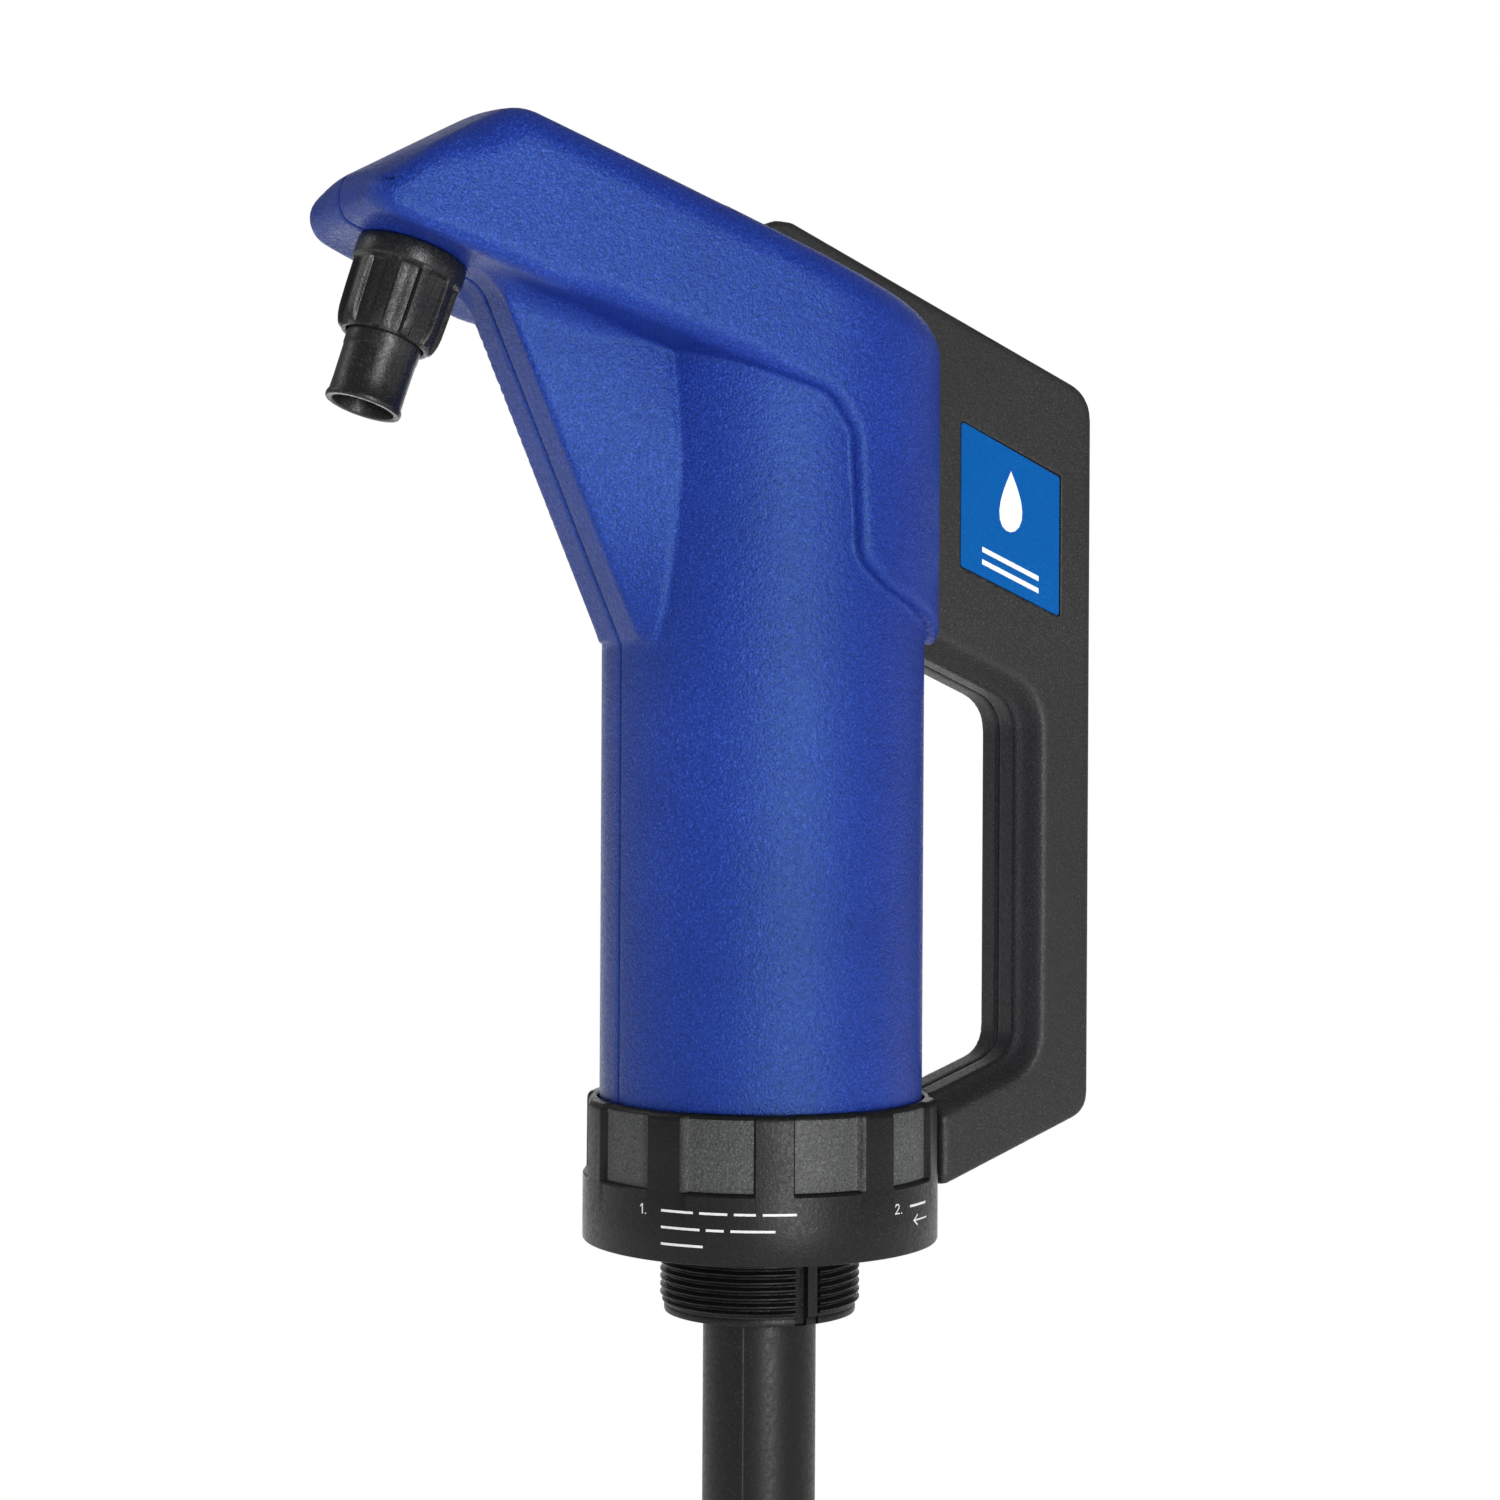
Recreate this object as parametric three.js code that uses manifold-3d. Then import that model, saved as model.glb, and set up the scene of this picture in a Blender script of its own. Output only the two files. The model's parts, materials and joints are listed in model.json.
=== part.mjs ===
// Lever-action drum pump: a piston pump that screws into the bung of a drum.
// Millimetres, +Z up. The origin lies on the barrel axis at the drum's top face (the clamp collar's
// underside). The spout points to -X, the lever and its grip to +X, and the mid-plane is y = 0.

import * as THREE from 'three';
import { mergeVertices } from 'three/addons/utils/BufferGeometryUtils.js';
import { ConvexGeometry } from 'three/addons/geometries/ConvexGeometry.js';
import Module from 'manifold-3d';

const wasm = await Module();
wasm.setup();

// ---------------------------------------------------------------- driving dimensions
const GAP = 0.3;                   // clearance between neighbours that touch on the real pump
const PARTING = 0.15;              // each moulded half stops this far from the mid-plane
const WALL = 3;                    // moulded wall thickness
const BEYOND = 80;                 // how far cutting tools reach past the casing

// Casing: a round trunk, a hood over its top and front, and a gusset below the hood.
const TRUNK_R = 48.2;
const TRUNK_TOP_Z = 262;           // inside the hood
const TRUNK_STEP_Z = 39.5;         // below this the trunk narrows to go inside the collar
const TRUNK_FOOT_Z = 22;
const TRUNK_FOOT_R = 46;
const BAND_R = 52.5;               // the hood's round rear, raised over the trunk
const NOSE_X = -136.3;             // the hood's front tip
const NOSE_Z = 295;
const NOSE_R = 6.5;                // rounding of the tip
const NOSE_TIP_HALF = 15;          // half the distance between the tip's rounded ends
const NOSE_CROWN = [-122.3, 28.5, 298.5]; // shoulder behind the tip: x, half-width, centre height
const PEAK_X = -97.5;
const PEAK_Z = 324.3;              // highest line of the hood
const PEAK_HALF = 34;
const TOP_SLOPE = -0.35;           // fall of the hood's top towards the rear
const CROWN = 0.0032;              // the top's drop to each side, per mm squared
const HOOD_EDGE_R = 9;
const HOOD_TAPER = 10.6;           // degrees, each side of the hood in plan
const UNDER_START = [-128.8, 288.7];
const UNDER_SLOPE = -0.345;        // fall of the hood's underside towards the rear
const BAND_LEG_X = 0;              // front edge of the band's rear leg
const BAND_LEG_Z = [201, 238];
const BAND_SWEEP = [[5, 196], [35, 183], [43, 179]]; // lower edge of the band towards the rear
const GUSSET_FOOT = [-48.4, 176.7];
const GUSSET_LEAN = -0.451;        // forward lean of the gusset's front edge per mm of height
const GUSSET_HALF = 13;            // half-width of its front strip
const GUSSET_FOOT_REAR = [-45.7, 15.3]; // where its sides meet the trunk at the foot: x, half-width
const GUSSET_REAR = [-40, 27.3];   // and above the knee
const GUSSET_KNEE = 28;            // height of the knee above the foot

// Screws and bosses.
const CASING_SCREWS = [[-93, 311.5], [-49.6, 200], [-33, 60], [33, 60]];
const CASING_BOSS_REACH = [32, 14, 30, 30];
const LEVER_SCREWS = [[66, 262], [100.5, 168], [100.5, 50]];
const BOSS_R = 5.2;
const POST_R = 4.6;
const SCREW_R = 1.75;
const SCREW_HEAD_R = 3.5;
const SCREW_HEAD_H = 2.4;
const SCREW_SEAT_Y = 9;            // the heads sit this far into the +Y half
const SCREW_TIP_Y = -10;

// Lever and grip.
const LEVER_PIVOT = [-58.5, 286];
const LEVER_SWING = 55;            // degrees, symmetric about a level arm
const LEVER_ARM = 62;              // pivot to cross pin
const LEVER_HALF = 16;             // half-thickness of the lever's cheeks
const LEVER_PLATE = 12.3;          // inside face of the cheeks
const RIM_HALF = 9;                // half-thickness at the edge of the hand opening
const SLOT_HALF = 17;              // half-width of the casing's lever slot
const SLOT_FRONT_X = -60;
const SLOT_FLOOR_Z = 236;
const LABEL = [[60.6, 246.2], [60.6, 202], [97.8, 187.6], [97.8, 231]];
const LABEL_RECESS = 1.1;
const LABEL_T = 0.6;
const PIN_R = 4;                   // pivot pin and cross pin
const PIVOT_PIN_HALF = 33.6;
const PIVOT_BOSS = [9, 17.3, 38];  // radius, inner face, reach into the casing's wall
const CROSS_PIN_HALF = 15.6;
const REST_ANGLE = THREE.MathUtils.degToRad(-LEVER_SWING / 2);
const CROSS_PIN = [
  LEVER_PIVOT[0] + LEVER_ARM * Math.cos(REST_ANGLE),
  LEVER_PIVOT[1] + LEVER_ARM * Math.sin(REST_ANGLE),
];

// Barrel, piston and rod, all on the Z axis.
const ROD_R = 5;
const ROD_FIT = 0.08;              // clearance of the rod in its bush
const ROD_FOOT_Z = 112;
const YOKE_HALF = 8;               // half-thickness of the rod's slotted head
const YOKE_X = 13;
const YOKE_Z = 9;
const YOKE_SLOT_X = 8.6;
const PIN_PLAY = 0.65;             // of the cross pin in the yoke's slot
const BARREL_R = 42;
const BORE_R = 39;
const BARREL_Z = [104, 212];
const END_R = 44.8;                // outside radius of the barrel's end pieces
const HEAD_Z = [206, 232];
const PISTON_Z = [118, 134];
const PISTON_R = 38.4;
const SEAL_Z = [122.6, 129.4];
const SEAL_ROOT_R = 35.6;
const PORTS = 6;                   // holes through the piston
const PORT_R = 4.5;
const PORT_RING_R = 19;

// Suction side.
const TUBE_R = 16.7;               // 1 inch suction pipe
const TUBE_BORE_R = 13.8;
const TUBE_Z = [-420, 91.5];
const INNER_R = 13.3;
const INNER_BORE_R = 10.6;
const INNER_Z = [-460, -20];
const STRAINER_R = 16.2;
const STRAINER_Z = [-482, -450];
const GLAND_R = 19.6;

// Bung adapter and clamp collar.
const THREAD_R = 29.8;             // 2 inch pipe thread of the drum's bung
const THREAD_PITCH = 2.309;
const THREAD_TURNS = 7;
const SPIGOT_R = 28.6;
const SPIGOT_FOOT_Z = -21.8;
const SPIGOT_LIP_Z = -19.4;
const NECK_BORE_R = 17.1;
const VENT_X = [-4.6, 3.4];        // channel through the thread, either side of a rib
const VENT_RIB_X = [-1.9, 1.1];
const COLLAR_R = 53.1;
const COLLAR_GRIP_R = 52.5;
const COLLAR_FLAT_R = 50.9;        // at the middle of each flat grip panel
const COLLAR_BORE_R = 46.6;
const COLLAR_BAND_Z = 20.3;
const COLLAR_TOP_Z = 42.5;
const COLLAR_PANELS = 10;
const COLLAR_PHASE = -98.5;        // degrees
const COLLAR_PANEL_HALF = 10.5;    // degrees

// Spout: lengths run along its axis from the hood's underside.
const SPOUT_TOP = [-113.9, 283.5];
const SPOUT_TILT = 18.8;           // degrees forward of straight down
const NUT_R = 14.8;
const NUT_RING_R = 15.7;
const NUT_LENGTH = 26.9;
const NUT_FLUTES = 10;
const FLUTE_R = 3.8;
const NOZZLE_R = 10.5;
const NOZZLE_BORE_R = 7.6;
const NOZZLE_FLANGE = [12.6, 14.4, 18.2]; // radius, start, end
const NOZZLE_END = 46.6;
const DUCT_R = 9.5;
const DUCT_BORE_R = 7.2;
const DUCT_X = -27;                // where the duct leaves the barrel head

const ROUND = 40;                  // sides of the large round parts
const MEDIUM = 20;
const SMALL = 12;

// ---------------------------------------------------------------- materials
const material = (color, roughness, metalness = 0) =>
  new THREE.MeshStandardMaterial({ color, roughness, metalness });
const bluePlastic = () => material(0x2f49a6, 0.5);
const blackPlastic = () => material(0x222225, 0.55);
const pipePlastic = () => material(0x2c2c30, 0.5);
const whitePlastic = () => material(0xdedfd8, 0.45);
const rubber = () => material(0x161617, 0.85);
const steel = () => material(0xb9bdc4, 0.3, 1);
const labelFilm = () => material(0x0f5fae, 0.35);

// ---------------------------------------------------------------- solids
function solid(geometry) {
  const plain = geometry.clone();
  plain.deleteAttribute('normal');
  plain.deleteAttribute('uv');
  const merged = mergeVertices(plain, 1e-4);
  const position = merged.getAttribute('position');
  const index = merged.index.array;
  const triangles = [];
  let volume = 0;
  const [a, b, c] = [new THREE.Vector3(), new THREE.Vector3(), new THREE.Vector3()];
  for (let i = 0; i < index.length; i += 3) {
    const [p, q, r] = [index[i], index[i + 1], index[i + 2]];
    if (p === q || q === r || r === p) continue;
    a.fromBufferAttribute(position, p);
    b.fromBufferAttribute(position, q);
    c.fromBufferAttribute(position, r);
    volume += a.dot(b.cross(c));
    triangles.push(p, q, r);
  }
  if (volume < 0) triangles.reverse();
  return new wasm.Manifold(new wasm.Mesh({
    numProp: 3,
    vertProperties: new Float32Array(position.array),
    triVerts: new Uint32Array(triangles),
  }));
}

function geometryOf(body) {
  const mesh = body.getMesh();
  const geometry = new THREE.BufferGeometry();
  geometry.setAttribute('position', new THREE.BufferAttribute(new Float32Array(mesh.vertProperties), 3));
  geometry.setIndex(new THREE.BufferAttribute(new Uint32Array(mesh.triVerts), 1));
  geometry.computeVertexNormals();
  return geometry;
}

const union = (...bodies) => bodies.reduce((sum, body) => sum.add(body));
const cut = (body, ...tools) => tools.reduce((rest, tool) => rest.subtract(tool), body);

function outline(points) {
  if (points instanceof THREE.Shape) return points;
  return new THREE.Shape(points.map(([x, y]) => new THREE.Vector2(x, y)));
}

// A shape whose corners are rounded: each point is [x, y, radius].
function roundedShape(points, divisions = 3) {
  const corner = [];
  points.forEach(([x, y, radius = 0], i) => {
    const at = new THREE.Vector2(x, y);
    const before = new THREE.Vector2(...points.at(i - 1).slice(0, 2)).sub(at);
    const after = new THREE.Vector2(...points[(i + 1) % points.length].slice(0, 2)).sub(at);
    if (!radius) {
      corner.push(at);
      return;
    }
    const half = Math.abs(before.angleTo(after)) / 2;
    const reach = Math.min(radius / Math.tan(half), before.length() * 0.49, after.length() * 0.49);
    const start = before.setLength(reach).add(at);
    const end = after.setLength(reach).add(at);
    corner.push(...new THREE.QuadraticBezierCurve(start, at, end).getPoints(divisions));
  });
  return new THREE.Shape(corner);
}

// An outline in x and z, extruded from y0 to y1.
function prismY(points, y0, y1) {
  const geometry = new THREE.ExtrudeGeometry(outline(points), { depth: y1 - y0, bevelEnabled: false });
  geometry.rotateX(Math.PI / 2);
  geometry.translate(0, y1, 0);
  return solid(geometry);
}

// An outline in x and y, extruded from z0 to z1.
function prismZ(points, z0, z1) {
  const geometry = new THREE.ExtrudeGeometry(outline(points), { depth: z1 - z0, bevelEnabled: false });
  geometry.translate(0, 0, z0);
  return solid(geometry);
}

// A closed or axis-to-axis profile of [radius, z], turned about Z.
function turned(profile, sides = MEDIUM) {
  const geometry = new THREE.LatheGeometry(profile.map(([r, z]) => new THREE.Vector2(r, z)), sides);
  geometry.rotateX(Math.PI / 2);
  return solid(geometry);
}

const disc = (radius, z0, z1, sides = MEDIUM) =>
  turned([[0, z0], [radius, z0], [radius, z1], [0, z1]], sides);

const ring = (outer, inner, z0, z1, sides = MEDIUM) =>
  turned([[inner, z0], [outer, z0], [outer, z1], [inner, z1], [inner, z0]], sides);

// A round bar along Y between y0 and y1, centred at x and z.
function barY(radius, [x, z], y0, y1, sides = SMALL) {
  const geometry = new THREE.CylinderGeometry(radius, radius, y1 - y0, sides);
  geometry.translate(x, (y0 + y1) / 2, z);
  return solid(geometry);
}

// Moves a solid turned about Z onto the spout's axis: z = 0 is the hood's face, +z points outwards.
function onSpout(body) {
  const matrix = new THREE.Matrix4().makeRotationY(Math.PI + THREE.MathUtils.degToRad(SPOUT_TILT));
  matrix.setPosition(SPOUT_TOP[0], 0, SPOUT_TOP[1]);
  return body.transform(matrix.elements);
}

const hull = (points) => solid(new ConvexGeometry(points.map((p) => new THREE.Vector3(...p))));

// Points on balls set at the given centres, for a rounded hull.
function ballPoints(centres, radius) {
  const ball = new THREE.IcosahedronGeometry(radius, 1).getAttribute('position');
  const points = [];
  for (const [x, y, z] of centres) {
    for (let i = 0; i < ball.count; i += 1) {
      points.push([x + ball.getX(i), y + ball.getY(i), z + ball.getZ(i)]);
    }
  }
  return points;
}

// Everything on one side of the mid-plane.
const halfSpaceY = (side) =>
  solid(new THREE.BoxGeometry(600, 200, 1200).translate(0, side * (100 + PARTING), 0));

// A range of y on the given side, low end first.
const onSide = (side, near, far) => (side < 0 ? [-far, -near] : [near, far]);

// ---------------------------------------------------------------- casing
const hoodTop = (x, y) => PEAK_Z + TOP_SLOPE * (x - PEAK_X) - CROWN * y * y;
const hoodUnder = (x) => UNDER_START[1] + UNDER_SLOPE * (x - UNDER_START[0]);

// The hood: a wedge over the spout that widens to wrap the trunk. inset makes the inner surface.
function hoodSolid(inset) {
  const r = HOOD_EDGE_R;
  const underTop = (x, y) => [x, y, hoodTop(x, y) - r * Math.hypot(1, TOP_SLOPE)];
  const crown = [underTop(PEAK_X + 2.5, 0), underTop(-10, 0), underTop(BAND_R - r, 0)];
  const foot = [];
  for (const side of [-1, 1]) {
    crown.push(underTop(PEAK_X + 2.5, side * (PEAK_HALF - r)));
    crown.push([NOSE_CROWN[0], side * (NOSE_CROWN[1] - r), NOSE_CROWN[2]]);
    for (let angle = 0; angle <= 90; angle += 18) {
      const turn = THREE.MathUtils.degToRad(angle - HOOD_TAPER);
      const [x, y] = [Math.sin(turn), side * Math.cos(turn)];
      crown.push(underTop((BAND_R - r) * x, (BAND_R - r) * y));
      foot.push([(BAND_R - inset) * x, (BAND_R - inset) * y, GUSSET_FOOT[1] - 26]);
    }
  }
  const tip = [-1, 1].map((side) => [NOSE_X + NOSE_R, side * NOSE_TIP_HALF, NOSE_Z]);
  const body = hull([...ballPoints(crown, r - inset), ...ballPoints(tip, NOSE_R - inset), ...foot]);
  const leg = BAND_LEG_X + inset;
  const below = [
    [-2 * BEYOND, hoodUnder(-2 * BEYOND) + inset], [BAND_LEG_X - 6, hoodUnder(BAND_LEG_X - 6) + inset],
    [leg, BAND_LEG_Z[1]], [leg, BAND_LEG_Z[0]], ...BAND_SWEEP.map(([x, z]) => [x, z + inset]),
    [BEYOND, 170 + inset], [BEYOND, 100], [-2 * BEYOND, 100],
  ];
  return cut(body, prismY(below, -BEYOND, BEYOND));
}

// The three-sided web between the hood and the trunk.
function gussetSolid(inset) {
  const section = (z, [rearX, rearHalf]) => {
    const front = GUSSET_FOOT[0] + GUSSET_LEAN * (z - GUSSET_FOOT[1]) + inset;
    return [-1, 1].flatMap((side) => [
      [front, side * (GUSSET_HALF - inset), z],
      [rearX, side * (rearHalf - inset), z],
      [-20, side * (rearHalf - inset), z],
    ]);
  };
  const foot = section(GUSSET_FOOT[1] + inset, GUSSET_FOOT_REAR);
  const knee = section(GUSSET_FOOT[1] + GUSSET_KNEE, GUSSET_REAR);
  const head = section(hoodUnder(PEAK_X) + 8, GUSSET_REAR);
  return union(hull([...foot, ...knee]), hull([...knee, ...head]));
}

function trunkSolid(inset) {
  const bottom = inset ? TRUNK_FOOT_Z - 1 : TRUNK_FOOT_Z;
  const foot = TRUNK_FOOT_R - inset;
  const radius = TRUNK_R - inset;
  return turned([
    [0, bottom], [foot, bottom], [foot, TRUNK_STEP_Z + inset], [radius, TRUNK_STEP_Z + inset],
    [radius, TRUNK_TOP_Z], [0, TRUNK_TOP_Z],
  ], ROUND);
}

function casingHalf(side) {
  const outer = union(hoodSolid(0), gussetSolid(0), trunkSolid(0));
  const inner = union(hoodSolid(WALL), gussetSolid(WALL), trunkSolid(WALL));
  const topSlot = prismY([
    [SLOT_FRONT_X, 400], [SLOT_FRONT_X, SLOT_FLOOR_Z], [BEYOND, SLOT_FLOOR_Z], [BEYOND, 400],
  ], -SLOT_HALF, SLOT_HALF);
  // Behind the trunk the slot runs on down through the band.
  const bandSlot = prismY([
    [TRUNK_R - 2.2, 160], [BEYOND, 160], [BEYOND, SLOT_FLOOR_Z + 1], [TRUNK_R - 2.2, SLOT_FLOOR_Z + 1],
  ], -SLOT_HALF, SLOT_HALF);
  const spoutHole = onSpout(disc(DUCT_R + GAP, -14, 6));
  let shell = cut(outer, inner, topSlot, cut(bandSlot, disc(TRUNK_R, 100, 300, ROUND)), spoutHole);
  // Inside ribs that hold the barrel's end pieces and the bung adapter's neck.
  shell = union(shell, ring(END_R + 0.5, 37, 87.5, 91.6), ring(43.2, 40.6, 26.4, 28.8, ROUND));
  // Bosses: four for the casing screws and one for the lever's pivot pin.
  CASING_SCREWS.forEach((place, i) => {
    shell = shell.add(barY(BOSS_R, place, ...onSide(side, 0, CASING_BOSS_REACH[i])));
    shell = shell.subtract(barY(SCREW_R + GAP, place, SCREW_TIP_Y - 1, BEYOND));
    shell = shell.subtract(barY(SCREW_HEAD_R + 0.5, place, SCREW_SEAT_Y, BEYOND));
  });
  const [bossR, bossNear, bossFar] = PIVOT_BOSS;
  shell = shell.add(barY(bossR, LEVER_PIVOT, ...onSide(side, bossNear, bossFar)));
  shell = shell.subtract(barY(PIN_R + 0.2, LEVER_PIVOT, -PIVOT_PIN_HALF - 0.4, PIVOT_PIN_HALF + 0.4));
  return shell.intersect(halfSpaceY(side));
}

function screwAt(place) {
  const seat = SCREW_SEAT_Y + GAP;
  return union(
    barY(SCREW_R, place, SCREW_TIP_Y, seat + 0.1, 10),
    barY(SCREW_HEAD_R, place, seat, seat + SCREW_HEAD_H),
  );
}

// ---------------------------------------------------------------- lever and grip
// The outline runs from the pivot eye along the top, down the grip and back round the hand opening.
const leverOutline = () => roundedShape([
  [LEVER_PIVOT[0] - 12, LEVER_PIVOT[1] - 9, 9], [LEVER_PIVOT[0] - 12, LEVER_PIVOT[1] + 12, 9],
  [-31, 296, 6], [-10.5, 288, 1], [-7.9, 301.2, 4], [0.3, 301, 4], [110.2, 257.3, 11.5], [110.2, 32.6, 8],
  [54.7, 12.2, 1.5], [54.7, 40, 1.5], [86, 51.3, 10], [86, 160.2, 12], [49, 175.3, 2], [49, 238.5, 3],
  [8, 243, 8], [-14, 247, 8],
]);

// The hand opening at its rim, and where its sloping sides meet the cheeks' outer faces.
const OPENING_RIM = [
  [45, 177], [76, 164.3], [83.5, 160], [86, 153], [86, 58], [83.5, 51.5], [77, 48], [45, 36.6],
];
const OPENING_CHEEK = [
  [45, 184], [78, 171], [88, 165], [92, 156], [92, 56], [89, 46.5], [80, 41.5], [45, 30],
];

function leverHalf(side) {
  let half = prismY(leverOutline(), ...onSide(side, PARTING, LEVER_HALF));
  const slopes = hull([
    ...OPENING_RIM.map(([x, z]) => [x, side * RIM_HALF, z]),
    ...OPENING_CHEEK.map(([x, z]) => [x, side * (LEVER_HALF + 1), z]),
  ]);
  // Hollow inside: the rod's head works between the cheeks, and the grip is a box section.
  const cheekPocket = prismY([
    [-80, 301], [-46, 301], [-46, 291.5], [-32, 290], [-13, 283.5], [-5.5, 297.2], [1, 296.8],
    [51, 276.9], [97, 258.7], [106.3, 250], [106.3, 186], [92, 182], [52, 197], [52, 230], [40, 220],
    [-30, 220], [-80, 262],
  ], ...onSide(side, 0, LEVER_PLATE));
  const gripPocket = prismY([
    [94.5, 175], [106.3, 179.5], [106.3, 35.6], [60, 18.4], [60, 31], [86, 40.5], [94.5, 44],
  ], ...onSide(side, 0, LEVER_PLATE));
  const eye = barY(PIN_R + 3.4, LEVER_PIVOT, -BEYOND, BEYOND, MEDIUM);
  const pinHole = barY(PIN_R + 0.2, CROSS_PIN, -BEYOND, BEYOND);
  const recess = prismY(labelOutline(GAP), ...onSide(side, LEVER_HALF - LABEL_RECESS, LEVER_HALF + 1));
  half = cut(half, slopes, cheekPocket, gripPocket, eye, pinHole, recess);
  // Screw posts, with the heads sunk into the half that faces +Y.
  for (const place of LEVER_SCREWS) {
    half = half.add(barY(POST_R, place, ...onSide(side, PARTING, LEVER_PLATE + 0.5), 14));
    half = half.subtract(barY(SCREW_R + GAP, place, SCREW_TIP_Y - 1, 11));
    if (side > 0) half = half.subtract(barY(SCREW_HEAD_R + 0.5, place, SCREW_SEAT_Y, BEYOND));
  }
  return half;
}

// The label's panel: upright sides, top and bottom roughly parallel to the lever's sloping top.
function labelOutline(grow) {
  const [middleX, middleZ] = [(LABEL[0][0] + LABEL[2][0]) / 2, (LABEL[0][1] + LABEL[2][1]) / 2];
  return LABEL.map(([x, z]) => [x + grow * Math.sign(x - middleX), z + grow * Math.sign(z - middleZ)]);
}

function labelAt(side) {
  const outside = LEVER_HALF - 0.2;
  return prismY(labelOutline(0), ...onSide(side, outside - LABEL_T, outside));
}

// A plain sleeve round a pin, between the distances near and far from the mid-plane.
function sleeve(outer, inner, place, side, near, far) {
  const [y0, y1] = onSide(side, near, far);
  return barY(outer, place, y0, y1, MEDIUM).subtract(barY(inner, place, y0 - 1, y1 + 1));
}

// ---------------------------------------------------------------- clamp collar and bung adapter
function collarSolid() {
  let body = turned([
    [50, 0], [COLLAR_R, 0], [COLLAR_R, COLLAR_BAND_Z - 0.8], [COLLAR_R - 0.8, COLLAR_BAND_Z],
    [COLLAR_GRIP_R, COLLAR_BAND_Z], [COLLAR_GRIP_R, COLLAR_TOP_Z - 2.4],
    [COLLAR_GRIP_R - 0.8, COLLAR_TOP_Z - 0.7], [COLLAR_GRIP_R - 2, COLLAR_TOP_Z], [48.8, COLLAR_TOP_Z],
    [48.8, 36], [COLLAR_BORE_R, 36], [COLLAR_BORE_R, 6.2], [36, 6.2], [36, 3.2], [50, 3.2], [50, 0],
  ], ROUND);
  const across = COLLAR_FLAT_R * Math.tan(THREE.MathUtils.degToRad(COLLAR_PANEL_HALF));
  const corners = [
    [COLLAR_FLAT_R, -across], [54, -across - 1.6], [54, across + 1.6], [COLLAR_FLAT_R, across],
  ];
  const panel = prismZ(corners, COLLAR_BAND_Z, COLLAR_TOP_Z + 10);
  for (let i = 0; i < COLLAR_PANELS; i += 1) {
    body = body.subtract(panel.rotate([0, 0, COLLAR_PHASE + i * 360 / COLLAR_PANELS]));
  }
  return body;
}

function adapterSolid() {
  const root = SPIGOT_R - 0.3;
  const profile = [
    [NECK_BORE_R, 34], [NECK_BORE_R, SPIGOT_FOOT_Z], [SPIGOT_R, SPIGOT_FOOT_Z], [SPIGOT_R, SPIGOT_LIP_Z],
  ];
  for (let i = THREAD_TURNS - 1; i >= 0; i -= 1) {
    const crest = -2.4 - i * THREAD_PITCH;
    profile.push([root, crest - THREAD_PITCH / 2], [THREAD_R, crest]);
  }
  profile.push(
    [root, -0.6], [root, 9.8], [45.8, 9.8], [45.8, 21.6], [42.6, 21.6], [42.6, 26], [39.5, 26],
    [39.5, 29.2], [42.6, 29.2], [42.6, 34], [NECK_BORE_R, 34],
  );
  let body = turned(profile, 24);
  for (const side of [-1, 1]) {
    const [low, high] = [SPIGOT_LIP_Z, 4];
    const channel = prismY([[VENT_X[0], low], [VENT_X[1], low], [VENT_X[1], high], [VENT_X[0], high]],
      ...onSide(side, 26.2, 40));
    const rib = prismY([[VENT_RIB_X[0], low - 1], [VENT_RIB_X[1], low - 1], [VENT_RIB_X[1], high + 1],
      [VENT_RIB_X[0], high + 1]], ...onSide(side, 25, SPIGOT_R + 0.8));
    body = body.subtract(channel).add(rib);
  }
  return body;
}

// ---------------------------------------------------------------- barrel, valves and rod
const barrelBase = () => turned([
  [10, 92], [10, BARREL_Z[0]], [34, BARREL_Z[0]], [34, 107], [BORE_R - 0.4, 107],
  [BORE_R - 0.4, BARREL_Z[0] - 0.4], [END_R, BARREL_Z[0] - 0.4], [END_R, 92], [22, 92], [22, 76],
  [NECK_BORE_R, 76], [NECK_BORE_R, 92], [10, 92],
]);

function barrelHead() {
  const bore = ROD_R + 3;
  const body = turned([
    [bore, HEAD_Z[0]], [BORE_R - 0.6, HEAD_Z[0]], [BORE_R - 0.6, BARREL_Z[1] + 0.4],
    [END_R, BARREL_Z[1] + 0.4], [END_R, 222.5], [15, 222.5], [15, HEAD_Z[1]], [bore, HEAD_Z[1]],
    [bore, HEAD_Z[0]],
  ]);
  const port = disc(DUCT_BORE_R, 200, 240).translate([DUCT_X, 0, 0]);
  const socket = disc(DUCT_R + GAP, 214, 240, 24).translate([DUCT_X, 0, 0]);
  return cut(body, port, socket);
}

// The nut that presses the rod's seal into the head.
function glandNut() {
  const bore = ROD_R + GAP;
  const seat = HEAD_Z[1] + 0.4;
  return turned([
    [bore, 228.8], [7.6, 228.8], [7.6, seat], [12, seat], [12, 237], [bore, 237], [bore, 228.8],
  ], 24);
}

function pistonSolid() {
  const bore = ROD_R + 0.1;
  let body = turned([
    [bore, PISTON_Z[0]], [36, PISTON_Z[0]], [PISTON_R, PISTON_Z[0] + 2], [PISTON_R, SEAL_Z[0]],
    [SEAL_ROOT_R, SEAL_Z[0]], [SEAL_ROOT_R, SEAL_Z[1]], [PISTON_R, SEAL_Z[1]], [PISTON_R, PISTON_Z[1]],
    [bore, PISTON_Z[1]], [bore, PISTON_Z[0]],
  ]);
  const port = disc(PORT_R, PISTON_Z[0] - 5, PISTON_Z[1] + 5, 10).translate([PORT_RING_R, 0, 0]);
  for (let i = 0; i < PORTS; i += 1) body = body.subtract(port.rotate([0, 0, i * 360 / PORTS]));
  return body;
}

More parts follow.
